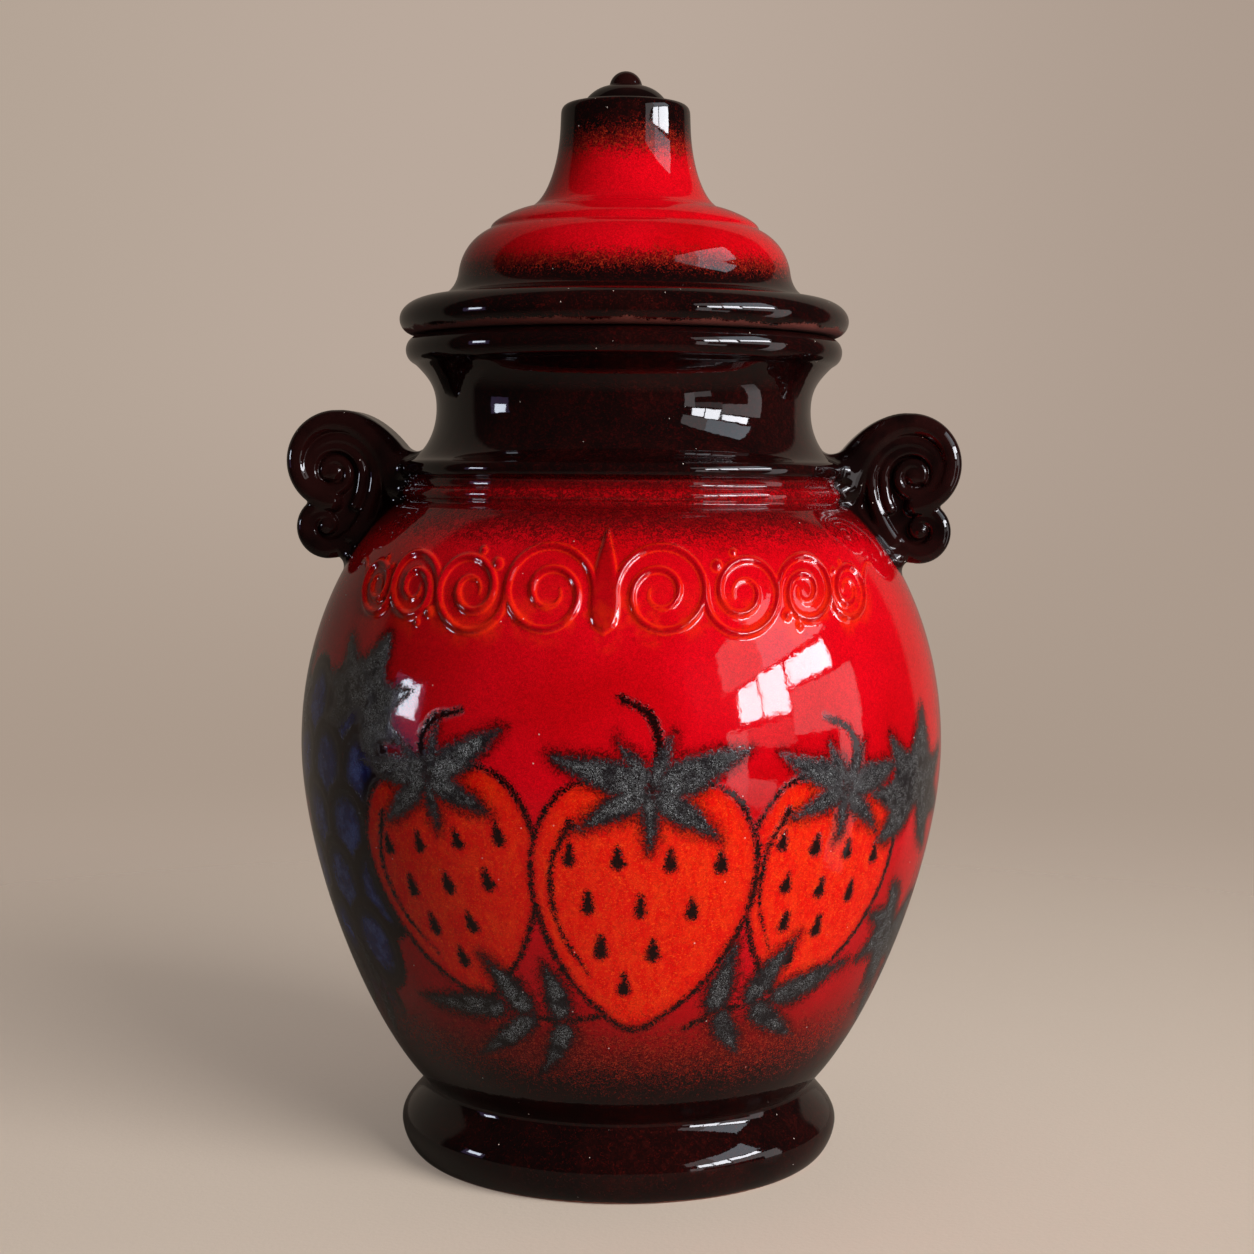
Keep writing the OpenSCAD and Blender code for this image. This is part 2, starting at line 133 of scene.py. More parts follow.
def resampled(path, step):
    """The path with points an even step apart."""
    s = lengths(path)
    at = np.linspace(0, s[-1], max(2, int(round(s[-1] / step)) + 1))
    return np.column_stack([np.interp(at, s, path[:, i]) for i in range(path.shape[1])])


def softened(path, radius, step=0.15):
    """The path with its corners rounded, as thick glaze rounds them."""
    fine = resampled(path, step)
    reach = int(3 * radius / step)
    weights = np.exp(-0.5 * (np.arange(-reach, reach + 1) * step / radius) ** 2)
    weights /= weights.sum()
    padded = np.pad(fine, ((reach, reach), (0, 0)), mode="reflect", reflect_type="odd")
    return np.column_stack([np.convolve(padded[:, i], weights, "valid") for i in (0, 1)])


def moved_in(path, distance):
    """The path moved sideways to its left."""
    d = np.gradient(path, axis=0)
    d /= np.linalg.norm(d, axis=1)[:, None]
    return path + distance * np.column_stack([-d[:, 1], d[:, 0]])


WAIST = (FOOT_WAIST_R, FOOT_H)
WIDEST = (BELLY_R, BELLY_Z)
COLLAR_FOOT = (COLLAR_R, COLLAR_Z)


def flank():
    return bezier(WAIST, away(WAIST, FLANK_ANGLE, FLANK_REACH),
                  (BELLY_R, BELLY_Z - FLANK_PULL), WIDEST, 90)


def shoulder():
    return bezier(WIDEST, (BELLY_R, BELLY_Z + SHOULDER_PULL),
                  away(COLLAR_FOOT, -SHOULDER_ANGLE, SHOULDER_REACH), COLLAR_FOOT, 90)


def foot_line():
    low, wide, rise = (FOOT_STAND_R, 0), (FOOT_BEAD_R, FOOT_BEAD_Z), FOOT_H - FOOT_BEAD_Z
    lip = ((FOOT_STAND_R + FOOT_BEAD_R) / 2, EDGE_R / 5)
    under = bezier(low, lip, (FOOT_BEAD_R, 0.62 * FOOT_BEAD_Z), wide)
    over = bezier(wide, (FOOT_BEAD_R, FOOT_BEAD_Z + 0.41 * rise), (FOOT_WAIST_R, FOOT_H - 0.34 * rise),
                  WAIST)
    return joined(under, over)


def collar_line():
    step_r = min(BAND_R, LOWER_RING_R) + 1
    step = bezier(COLLAR_FOOT, (COLLAR_R - 0.2, COLLAR_Z + 1.2), (step_r + 0.6, LOWER_RING_Z - 1.4),
                  (step_r, LOWER_RING_Z))
    lower = arc((BAND_R, LOWER_RING_Z + LOWER_RING_H / 2), LOWER_RING_R - BAND_R, LOWER_RING_H / 2, -60, 90)
    upper = arc((BAND_R, UPPER_RING_Z + UPPER_RING_H / 2), UPPER_RING_R - BAND_R, UPPER_RING_H / 2, -90, 80)
    return joined(step, lower, upper)


def neck_line():
    foot, waist = (BAND_R + 0.4, NECK_FOOT_Z), (NECK_R, NECK_Z)
    bead = (RIM_R - RIM_ROUND + 1, BEAD_Z)
    low = bezier(foot, (foot[0] - 5, foot[1] + 1.2), (NECK_R, NECK_Z - NECK_LOW_H / 2), waist)
    high = bezier(waist, (NECK_R, NECK_Z + NECK_HIGH_H / 2), (bead[0] - 4.2, bead[1] - 4.2), bead)
    return joined(low, high)


def pot_outside():
    rim = arc((RIM_R - RIM_ROUND, RIM_Z - RIM_H / 2), RIM_ROUND, RIM_H / 2, -66, 90)
    return joined(foot_line(), flank(), shoulder(), collar_line(), neck_line(), rim)


def pot_inside():
    """The hollow, from the mouth down to the middle of the floor."""
    inner = moved_in(joined(flank(), shoulder()), WALL_T)
    floor_z, neck_in = FOOT_RECESS_H + FLOOR_T, NECK_R - WALL_T
    low, high = tuple(inner[0]), tuple(inner[-1])
    bottom = bezier((low[0] - 22, floor_z), (low[0] - 14, floor_z), away(low, FLANK_ANGLE, -10), low)
    neck_low = (neck_in, NECK_FOOT_Z + NECK_LOW_H / 3)
    under_neck = bezier(high, away(high, -SHOULDER_ANGLE, -10), (neck_in, neck_low[1] - 12), neck_low)
    mouth_low = (MOUTH_R, RIM_Z - MOUTH_H)
    throat = bezier((neck_in, NECK_Z), (neck_in, NECK_Z + 2), (MOUTH_R, mouth_low[1] - 2), mouth_low)
    edge = arc((MOUTH_R + EDGE_R, RIM_Z - EDGE_R), EDGE_R, EDGE_R, 180, 90)
    return joined((0, floor_z), bottom, inner, under_neck, throat, edge)[::-1]


def pot_underside():
    """The recess, from the standing ring in to the middle."""
    r = FOOT_STAND_R - FOOT_RING_W
    recess = joined((r + EDGE_R / 2, 0), (r, EDGE_R / 2), (r - FOOT_RECESS_H / 2, FOOT_RECESS_H),
                    (0, FOOT_RECESS_H))
    return recess[::-1]


def dome_line():
    side, edge = (DOME_R, DOME_FOOT_Z), (STEP_R, STEP_Z)
    return bezier(side, (DOME_R - 0.8, DOME_FOOT_Z + DOME_H * 0.45), away(edge, -24, 6.5), edge)


def bell_line():
    foot, top = (BELL_FOOT_R, BELL_Z), (BELL_R, CAP_FOOT_Z)
    return bezier(foot, away(foot, 159, 5.9), (BELL_R + 0.5, CAP_FOOT_Z - BELL_H * 0.47), top)


def lid_outside():
    wide_z, top_z = SEAT_Z + FLANGE_EDGE_H, SEAT_Z + FLANGE_H
    under = arc((FLANGE_R - FLANGE_UNDER_ROUND, wide_z), FLANGE_UNDER_ROUND, FLANGE_EDGE_H, -90, 0)
    upper = arc((FLANGE_R - FLANGE_UPPER_ROUND, wide_z), FLANGE_UPPER_ROUND, top_z - wide_z, 0, 90)
    top = (FLANGE_R - FLANGE_UPPER_ROUND, top_z)
    cove = bezier(top, (top[0] - 4.4, top_z + 0.3), (DOME_R + 0.7, DOME_FOOT_Z - 4.5), (DOME_R, DOME_FOOT_Z))
    step = bezier((STEP_R, STEP_Z + 0.6), (STEP_R - 0.2, STEP_Z + 2.4), (BELL_FOOT_R + 4.6, BELL_Z - 0.9),
                  (BELL_FOOT_R + 0.9, BELL_Z - 0.3))
    cap_r = BELL_R - CAP_TAPER
    edge = bezier((cap_r, CAP_Z - 3.2), (cap_r - 0.1, CAP_Z - 1.1), (cap_r - 1.1, CAP_Z - 0.2),
                  (cap_r - 3.5, CAP_Z - 0.1))
    cap = joined((BELL_R, CAP_FOOT_Z), edge, (BUTTON_R + 0.2, CAP_Z))
    return joined(under, upper, cove, dome_line(), step, bell_line(), cap)


def lid_inside():
    """The lid's hollow, from the middle of the cap down to the locating ring."""
    bell, dome = moved_in(bell_line(), LID_T), moved_in(dome_line(), LID_T)
    cap_z, top, low, high = CAP_Z - CAP_T, bell[-1], bell[0], dome[-1]
    crown = bezier((top[0] - 5, cap_z), (top[0] - 1, cap_z), (top[0], top[1] + 3), top)
    middle = bezier(low, (low[0] + 3, low[1] - 1.2), (high[0] - 3, high[1] + 1.4), high)
    return joined((0, cap_z), crown, bell[::-1], middle, dome[::-1], (RING_R - RING_T, SEAT_Z))


# Meshes

def ring_grid(rows, columns):
    """Corner numbers of the quads between rows of points that close into rings."""
    i, k = np.meshgrid(np.arange(rows - 1), np.arange(columns), indexing="ij")
    m = (k + 1) % columns
    corners = [i * columns + k, i * columns + m, (i + 1) * columns + m, (i + 1) * columns + k]
    return np.stack(corners, -1).reshape(-1, 4)


def quad_mesh(name, points, quads, loop_uv=None):
    """A smooth mesh object of quads, from points in millimetres."""
    mesh = bpy.data.meshes.new(name)
    mesh.vertices.add(len(points))
    mesh.vertices.foreach_set("co", (np.asarray(points) * MM).astype(np.float32).ravel())
    mesh.loops.add(quads.size)
    mesh.loops.foreach_set("vertex_index", quads.astype(np.int32).ravel())
    mesh.polygons.add(len(quads))
    mesh.polygons.foreach_set("loop_start", np.arange(0, quads.size, 4, dtype=np.int32))
    mesh.polygons.foreach_set("use_smooth", np.ones(len(quads), bool))
    if loop_uv is not None:
        mesh.uv_layers.new(name="OFBake").data.foreach_set("uv", loop_uv.astype(np.float32).ravel())
    mesh.update(calc_edges=True)
    made = bpy.data.objects.new(name, mesh)
    bpy.context.scene.collection.objects.link(made)
    return made


def turned(name, profile, columns, lift=None, closed=True):
    """A profile turned about Z. lift(angle, height, radius) moves points out along the normal.

    Ends on the axis are drawn in to a tiny radius, and a closed profile meets itself."""
    pole = 0.02
    profile = np.column_stack([np.maximum(profile[:, 0], pole), profile[:, 1]])
    rows = len(profile)
    angle = 2 * math.pi * np.arange(columns) / columns - math.pi / 2
    tangent = np.gradient(profile, axis=0)
    tangent /= np.linalg.norm(tangent, axis=1)[:, None]
    normal = np.column_stack([tangent[:, 1], -tangent[:, 0]])
    r = np.repeat(profile[:, :1], columns, 1)
    z = np.repeat(profile[:, 1:], columns, 1)
    a = np.repeat(angle[None], rows, 0)
    if lift is not None:
        h = lift(a, z, r)
        r = r + h * normal[:, :1]
        z = z + h * normal[:, 1:]
    points = np.stack([r * np.cos(a), r * np.sin(a), z], -1).reshape(-1, 3)
    quads = ring_grid(rows, columns)
    if closed:
        last = (rows - 1) * columns
        k = np.arange(columns)
        m = (k + 1) % columns
        quads = np.vstack([quads, np.stack([last + k, last + m, m, k], -1)])
    s = lengths(profile)
    s = np.append(s, s[-1] * 1.02) / (s[-1] * 1.02)
    row, column = np.divmod(quads, columns)
    first = column[:, :1] > column[:, 1:2]
    u = np.where(first & (column == 0), columns, column) / columns
    v = s[np.where((row == 0) & (row.max(1, keepdims=True) == rows - 1), rows, row)]
    piece = quad_mesh(name, points, quads, np.stack([u, v], -1).reshape(-1, 2))
    return piece, a.ravel(), z.ravel(), r.ravel()


def put_values(piece, name, values):
    """A number at each point of a mesh, which its material reads."""
    piece.data.attributes.new(name, "FLOAT", "POINT").data.foreach_set("value", values.astype(np.float32))


# Flat drawing, in millimetres, for the painted frieze and the raised scrolls

def through(points, closed=False, steps=10):
    """A smooth path through given points."""
    p = np.array(points, float)
    if closed:
        p = np.vstack([p[-1], p, p[0], p[1]])
    else:
        p = np.vstack([2 * p[0] - p[1], p, 2 * p[-1] - p[-2]])
    t = np.linspace(0, 1, steps, endpoint=False)[:, None]
    out = []
    for a, b, c, d in zip(p, p[1:], p[2:], p[3:]):
        out.append(0.5 * (2 * b + (c - a) * t + (2 * a - 5 * b + 4 * c - d) * t ** 2
                          + (3 * b - a - 3 * c + d) * t ** 3))
    if not closed:
        out.append(p[-2:-1])
    return np.vstack(out)


def spiral(centre, radius, start, turns, closing, steps=30):
    """A spiral round a centre that closes in by a factor each turn. Negative turns run clockwise."""
    t = np.linspace(0, 1, steps + 1) * abs(turns)
    a = math.radians(start) + math.copysign(2 * math.pi, turns) * t
    r = radius * closing ** t
    return np.column_stack([centre[0] + r * np.cos(a), centre[1] + r * np.sin(a)])


def turned_by(path, angle, scale=1.0, shift=(0, 0)):
    """A flat path turned, scaled and moved."""
    c, s = math.cos(math.radians(angle)), math.sin(math.radians(angle))
    return scale * np.asarray(path) @ np.array([[c, s], [-s, c]]) + np.array(shift, float)


def mirrored(path):
    return np.asarray(path) * np.array([-1, 1])


def path_distance(x, y, path, widths=0.0):
    """Distance from points to a path, less the path's half width at the nearest place."""
    best = np.full(np.broadcast(x, y).shape, 1e9)
    widths = np.broadcast_to(np.asarray(widths, float), (len(path),))
    for (ax, ay), (bx, by), wa, wb in zip(path, path[1:], widths, widths[1:]):
        dx, dy = bx - ax, by - ay
        t = np.clip(((x - ax) * dx + (y - ay) * dy) / (dx * dx + dy * dy + 1e-12), 0, 1)
        best = np.minimum(best, np.hypot(x - ax - t * dx, y - ay - t * dy) - (wa + (wb - wa) * t))
    return best


def outline_distance(x, y, outline):
    """Distance from points to a closed outline, negative inside it."""
    loop = np.vstack([outline, outline[:1]])
    inside = np.zeros(np.broadcast(x, y).shape, bool)
    for (ax, ay), (bx, by) in zip(loop, loop[1:]):
        crosses = (ay > y) != (by > y)
        with np.errstate(divide="ignore", invalid="ignore"):
            inside ^= crosses & (x < (bx - ax) * (y - ay) / (by - ay + 1e-12) + ax)
    d = path_distance(x, y, loop)
    return np.where(inside, -d, d)


def leaf_outline(length, width, bend=0.0, tip=0.55):
    """A pointed leaf from the origin along +X, bent sideways."""
    t = np.linspace(0, 1, 15)
    half = width / 2 * np.sin(math.pi * t ** tip) ** 0.8
    middle = bend * np.sin(math.pi * t / 2) ** 2
    upper = np.column_stack([length * t, middle + half])
    lower = np.column_stack([length * t, middle - half])[::-1]
    return np.vstack([upper, lower[1:-1]])


class Frieze:
    """The painted band: each layer holds the distance to its painted edge at every point of the pot."""

    REPEATS = 2
    FAR = 12.0

    def __init__(self, angle, height, radius):
        self.angle, self.height, self.radius = angle, height, radius
        self.layers = {name: np.full(angle.shape, self.FAR) for name in ("fruit", "berry", "leaf", "ink")}

    def near(self, place, low, high, reach):
        """Numbers and flat coordinates of the points round a place given as (degrees, height)."""
        period = 2 * math.pi / self.REPEATS
        a = (self.angle + math.pi / 2 - math.radians(place[0]) + period / 2) % period - period / 2
        x = a * self.radius
        y = self.height - place[1]
        pick = np.flatnonzero((np.abs(x) < reach) & (y > low) & (y < high))
        return pick, x[pick], y[pick]

    def add(self, layer, pick, distance):
        values = self.layers[layer]
        values[pick] = np.minimum(values[pick], distance)

    def area(self, layer, place, outline, line=0.0, cover=False):
        """A filled shape, with an inked outline where line is its half width. It may cover what is there."""
        margin = self.FAR
        low, high = outline[:, 1].min() - margin, outline[:, 1].max() + margin
        pick, x, y = self.near(place, low, high, np.abs(outline[:, 0]).max() + margin)
        d = outline_distance(x, y, outline)
        if cover:
            for values in self.layers.values():
                values[pick] = np.maximum(values[pick], -d)
        self.add(layer, pick, d)
        if line:
            self.add("ink", pick, np.abs(d) - line)

    def stroke(self, place, path, width, layer="ink"):
        margin = self.FAR
        low, high = path[:, 1].min() - margin, path[:, 1].max() + margin
        pick, x, y = self.near(place, low, high, np.abs(path[:, 0]).max() + margin)
        self.add(layer, pick, path_distance(x, y, path, width))


STRAWBERRY = [(0, 31), (13, 36), (27, 31), (35, 15), (33, -6), (22, -27), (8, -41), (0, -45)]
SEED_ROWS = [(12, (-24, -9, 7, 23)), (-3, (-17, -1, 15)), (-17, (-12, 4)), (-29, (-4,))]
SEPALS = [(160, 33), (204, 27), (262, 19), (320, 27), (18, 34), (62, 18), (118, 19)]


def paint_strawberry(frieze, place, lean, scale):
    """An orange-red strawberry with an inked outline, dark seeds and a star of black sepals."""
    half = np.array(STRAWBERRY, float)
    outline = through(np.vstack([half, mirrored(half[1:-1])[::-1]]), closed=True)
    frieze.area("fruit", place, turned_by(outline, lean, scale), line=0.8, cover=True)
    fold = through([(-24, 22), (-29, 6), (-25, -12), (-14, -28)])
    frieze.stroke(place, turned_by(fold, lean, scale), np.linspace(1.0, 0.1, len(fold)))
    for y, row in SEED_ROWS:
        for x in row:
            seed = np.array([(x, y + 2.6), (x + 0.4, y - 2.2)])
            frieze.stroke(place, turned_by(seed, lean, scale), np.array([0.7, 1.9]))
    for angle, length in SEPALS:
        sepal = turned_by(leaf_outline(length, 0.36 * length, bend=3.0), angle, 1.0, (0, 33))
        frieze.area("leaf", place, turned_by(sepal, lean, scale))


def paint_grapes(frieze, place, berry_r=11.6):
    """A bunch of dark blue berries, each with its own outline."""
    centres = []
    for row, count in enumerate((2, 3, 2, 3, 2, 1)):
        for k in range(count):
            centres.append(((k - (count - 1) / 2) * 1.9 * berry_r, 40 - row * 1.56 * berry_r))
    pick, x, y = frieze.near(place, -70, 65, 56)
    nearest = np.full(x.shape, 1e3)
    edge = np.full(x.shape, 1e3)
    for cx, cy in centres:
        d = np.hypot(x - cx, 0.88 * (y - cy)) - berry_r
        edge = np.where(d < 0, -d, np.minimum(edge, np.abs(d)))
        nearest = np.minimum(nearest, d)
    frieze.add("berry", pick, nearest)
    frieze.add("ink", pick, edge - 1.4)


VINE_LEAF = [(0, 0), (8, -9), (20, -12), (17, -3), (29, 2), (18, 8), (22, 20), (9, 17), (0, 31)]


def paint_vine_leaf(frieze, place, angle, scale):
    """A lobed leaf in black glaze."""
    half = np.array(VINE_LEAF, float)
    outline = through(np.vstack([half, mirrored(half[1:-1])[::-1]]), closed=True, steps=6)
    frieze.area("leaf", place, turned_by(outline, angle, scale))


SPRIG_LEAVES = ((2, 1, 60, 16), (3, -1, 54, 14), (9, 1, 38, 19), (10, -1, 34, 17), (15, 1, 2, 23))


def paint_sprig(frieze, place, angle, scale=1.0):
    """A short stalk with a fan of slender leaves."""
    stalk = through([(-3, -1), (5, 1.5), (15, 1)])
    frieze.stroke(place, turned_by(stalk, angle, scale), 0.8)
    for at, side, turn, length in SPRIG_LEAVES:
        leaf = turned_by(leaf_outline(length, 6.0, bend=2.0 * side), turn * side, 1.0, (at, 1.2))
        frieze.area("leaf", place, turned_by(leaf, angle, scale))


# Places as (degrees, height), then turn and scale
BERRIES = (((-27, 105), 9, 0.86), ((40, 103), -11, 0.82), ((7, 101), -3, 0.94))
STEMS = (((-27, 105), [(-4, 28), (-7, 38), (-3, 45), (6, 48)]),
         ((40, 103), [(5, 27), (9, 37), (6, 44), (-3, 48)]),
         ((7, 101), [(1, 29), (4, 42), (1, 52), (-7, 57)]))
VINE_LEAVES = (((-47, 149), -22, 0.86), ((-78, 145), 24, 0.85), ((64, 120), -10, 1.0), ((68, 84), 165, 0.8))
SPRIGS = (((-4, 62), 172), ((19, 61), 8), ((-52, 62), 172), ((65, 58), 12))


def paint_frieze(angle, height, radius):
    """The fruit frieze, which repeats round the pot."""
    frieze = Frieze(angle, height, radius)
    for place, path in STEMS:
        stem = through(path)
        frieze.stroke(place, stem, np.linspace(1.9, 0.9, len(stem)))
    paint_grapes(frieze, (-57, 110))
    for place, lean, scale in BERRIES:
        paint_strawberry(frieze, place, lean, scale)
    for place, turn, scale in VINE_LEAVES:
        paint_vine_leaf(frieze, place, turn, scale)
    for place, turn in SPRIGS:
        paint_sprig(frieze, place, turn, 1.45)
    return frieze.layers


# The raised scrolls on the front of the shoulder

SCROLL_Z = 187.0
SCROLL_HALF_W = 1.6
SCROLL_LIFT = 1.25
SCROLL_START = 3.0
LOBE_RADII = (13.0, 11.6, 10.0, 8.2)


def lobe(centre, radius, over, steps=90):
    """A half circle that goes on as a spiral inside itself, over its centre or under it."""
    turn = np.linspace(0, 2.05 * math.pi * 2, steps)
    r = radius * np.where(turn < math.pi, 1, 0.40 ** ((turn - math.pi) / (2 * math.pi)))
    side = 1 if over else -1
    return np.column_stack([centre - r * np.cos(turn), side * r * np.sin(turn)])


def scroll_lines():
    """Paths of the scrolls on the right of the middle: lobes that run on from one to the next."""
    lines = []
    start = SCROLL_START
    for k, radius in enumerate(LOBE_RADII):
        lines.append(lobe(start + radius, radius, k % 2 == 0))
        start += 2 * radius
    lines.append(through([(start, 0), (start + 1.5, 4), (start + 5, 7), (start + 9, 7)]))
    return lines


def scroll_leaf():
    """Outline of the raised leaf in the middle."""
    return turned_by(leaf_outline(31, 9.2), 90, 1.0, (0, -12))


def scroll_beads():
    """Raised beads in the corners that the lobes leave free, as (x, y, radius)."""
    beads = []
    start = SCROLL_START
    for k, (radius, after) in enumerate(zip(LOBE_RADII, LOBE_RADII[1:])):
        start += 2 * radius
        side = 1 if k % 2 == 0 else -1
        for along, up, size in ((0.30, 0.66, 0.17), (0.74, 0.98, 0.12)):
            beads.append((start + along * after, up * after * side, size * after))
    return beads


def scroll_relief(angle, height, radius):
    """Height of the raised scrolls at each point, from 0 to 1, and how much glaze runs down below them."""
    a = (angle + math.pi / 2 + math.pi) % (2 * math.pi) - math.pi
    x, y = a * radius, height - SCROLL_Z
    pick = np.flatnonzero((np.abs(x) < 104) & (np.abs(y) < 22) & (radius > COLLAR_R + 1))
    px, py = np.abs(x[pick]), y[pick]
    d = np.full(px.shape, 1e3)
    for path in scroll_lines():
        along = lengths(path)
        taper = 0.9 * np.clip(1 - (along[-1] - along) / 16, 0, 1)
        d = np.minimum(d, path_distance(px, py, path, -taper))
    ridge = 0.5 + 0.5 * np.cos(math.pi * np.clip(d / SCROLL_HALF_W, 0, 1))
    inside = outline_distance(px, py, scroll_leaf())
    for bead_x, bead_y, size in scroll_beads():
        inside = np.minimum(inside, np.hypot(px - bead_x, py - bead_y) - size)
    leaf = 0.5 - 0.5 * np.cos(math.pi * np.clip((0.5 - inside) / 2.2, 0, 1))
    relief, run = np.zeros(angle.shape), np.zeros(angle.shape)
    relief[pick] = np.maximum(ridge, leaf)
    near = np.minimum(d, np.maximum(inside, 0))
    run[pick] = np.clip(1 - near / 6, 0, 1) * np.clip((4 - py) / 10, 0, 1)
    return relief, run


# The ears: each is the zero level of a field of distances, negative inside, in millimetres

EYE = VOLUTE + np.array([1.1, -3.6])
CURL_EYE = CURL + np.array([0.3, 0.5])
EAR_CELL = 0.42
EAR_BOX = ((57.0, -18.5, 174.0), (110.5, 18.5, 243.5))
# The rolls are thinner than the CAD's inside the same outline: radii at the top and at the end
ROLL_THIN, ROLL_THIN_BY, CURL_THIN = (4.1, 3.0), 30.0, 2.9
# The table of distances to the pot: its cell, and how far it reaches beyond the ear's box
TABLE_CELL, TABLE_MARGIN = 0.25, 3
# How far the edges of the ear stay inside the CAD's, and how deep its root reaches into the wall
EAR_SLACK, EAR_ROOT = 0.15, 2.0
# How far the eyes stand out of the face
EYE_RISE = 3.2
# The fillet of glaze at the pot: how deep its edge lies in the pot's skin, its reach and its width
SKIN, LUTE_REACH, LUTE_WIDTH = 0.12, 5.5, 5.0


def blended(a, b, reach):
    """The union of two fields with a fillet between them."""
    near = np.maximum(reach - np.abs(a - b), 0) / reach
    return np.minimum(a, b) - reach * near * near / 4


def nearest_on(x, z, path, radii):
    """Distance to a path in the plane of the ear, and the radius at its nearest place."""
    best = np.full(np.broadcast(x, z).shape, 1e9)
    radius = np.zeros(best.shape)
    for (ax, az), (bx, bz), ra, rb in zip(path, path[1:], radii, radii[1:]):
        dx, dz = bx - ax, bz - az
        t = np.clip(((x - ax) * dx + (z - az) * dz) / (dx * dx + dz * dz), 0, 1)
        d = np.hypot(x - ax - t * dx, z - az - t * dz)
        nearer = d < best
        best = np.where(nearer, d, best)
        radius = np.where(nearer, ra + (rb - ra) * t, radius)
    return best, radius


def roll_field(x, y, z, path, radii, depth):
    """A roll along a path, as deep to the front and the back, with round edges."""
    d, radius = nearest_on(x, z, path, radii)
    return np.hypot(d, np.maximum(np.abs(y) - (depth - radius), 0)) - radius


def ridge_field(x, y, z, path, depth, start, end):
    """A raised line along a path on both faces, which tapers from its start to its end."""
    d, radius = nearest_on(x, z, path, np.linspace(start, end, len(path)))
    return np.hypot(d, np.abs(y) - depth) - radius


def plate_field(x, y, z):
    """The sunken face between the rolls and the pot."""
    disc = np.hypot(x - VOLUTE[0], z - VOLUTE[1]) - (VOLUTE_R - ROLL_R)
    web = [VOLUTE + (-6, -4), CURL, CURL + (-12, -5), (COLLAR_R - 4, VOLUTE[1] - 2)]
    flat = np.minimum(disc, outline_distance(x, z, np.array(web)) - 5.0)
    return np.maximum(flat, np.abs(y) - FACE_Y)


def pot_table():
    """Distance to the outside of the pot at each radius and height near the ears."""
    around = softened(joined(shoulder(), collar_line(), neck_line()), 0.45, 0.3)
    (low_r, _, low_z), (high_r, high_y, high_z) = EAR_BOX
    r = np.arange(low_r - TABLE_MARGIN, math.hypot(high_r, high_y) + TABLE_MARGIN, TABLE_CELL)[:, None]
    z = np.arange(low_z - TABLE_MARGIN, high_z + TABLE_MARGIN, TABLE_CELL)[None]
    d, _ = nearest_on(r, z, around, np.zeros(len(around)))
    return np.where(r < np.interp(z, around[:, 1], around[:, 0]), -d, d)


def pot_field(x, y, z, table):
    """Distance to the outside of the pot, read from its table."""
    low_r, _, low_z = EAR_BOX[0]
    r, z = np.broadcast_arrays((np.hypot(x, y) - low_r + TABLE_MARGIN) / TABLE_CELL,
                               (z - low_z + TABLE_MARGIN) / TABLE_CELL)
    i = np.clip(r.astype(int), 0, table.shape[0] - 2)
    k = np.clip(z.astype(int), 0, table.shape[1] - 2)
    u, v = r - i, z - k
    low = table[i, k] * (1 - u) + table[i + 1, k] * u
    high = table[i, k + 1] * (1 - u) + table[i + 1, k + 1] * u
    return low * (1 - v) + high * v


def ear_lines():
    """Paths of the rolls and the ridges of the right ear, and the radii of the rolls."""
    root = np.array([COLLAR_R - 3, VOLUTE[1] - 7])
    top = away(VOLUTE, 92, VOLUTE_R - ROLL_R - EAR_SLACK)
    rise = bezier(root, root + (3.5, 8), (top[0] - 8.5, top[1]), top, 20)
    around = arc(VOLUTE, *2 * [VOLUTE_R - ROLL_R - EAR_SLACK], 84, -84, 36)
    wide = joined(rise, around)
    swell = 2.2 * np.clip(1 - np.arange(len(wide)) / 20, 0, 1)
    share = np.clip(lengths(wide) / ROLL_THIN_BY, 0, 1)
    thin = (ROLL_R + swell) * (1 - share) + np.linspace(*ROLL_THIN, len(wide)) * share
    roll = moved_in(wide, (ROLL_R + swell - thin)[:, None])
    curl = arc(CURL, *2 * [CURL_R - CURL_THIN], 80, -120, 24)
    turn = spiral(EYE, 13.6, 180, -1.55, 0.36, 74)
    spine = bezier(CURL + (-7.8, -3), CURL + (-11.8, 2.5), turn[0] + (-0.4, -8), turn[0], 14)
    inner_turn = spiral(EYE, 9.6, 180, -0.8, 0.45, 34)
    inner = bezier(CURL + (-9.4, 7.4), CURL + (-10.8, 9.4), inner_turn[0] + (0, -3), inner_turn[0], 8)
    return {"roll": roll, "thin": thin, "curl": joined(curl, CURL + (-9, -8.5)),
            "outer": joined(spine, turn), "inner": joined(inner, inner_turn),
            "small": spiral(CURL_EYE, 7.4, -152, 1.3, 0.3, 40)}


def ear_field(x, y, z, lines, table):
    """The right ear, from its lines and the table of distances to the pot."""
    roll = roll_field(x, y, z, lines["roll"], lines["thin"], ROLL_Y)
    curl = roll_field(x, y, z, lines["curl"], np.full(len(lines["curl"]), CURL_THIN), CURL_Y)
    body = blended(blended(roll, plate_field(x, y, z), 1.6), curl, 1.4)
    for name, start, end in (("outer", 2.1, 1.6), ("inner", 1.9, 1.2), ("small", 1.7, 1.1)):
        body = blended(body, ridge_field(x, y, z, lines[name], FACE_Y + 1.3, start, end), 1.1)
    for middle, radius in ((EYE, 4.0), (CURL_EYE, 2.6)):
        deep = np.abs(y) - (FACE_Y + EYE_RISE - radius)
        eye = np.sqrt((x - middle[0]) ** 2 + deep ** 2 + (z - middle[1]) ** 2) - radius
        body = blended(body, eye, 0.8)
    pot = pot_field(x, y, z, table)
    luted = blended(body, pot + SKIN, LUTE_REACH)
    return np.maximum(np.maximum(luted, body - LUTE_WIDTH), -(pot + EAR_ROOT))


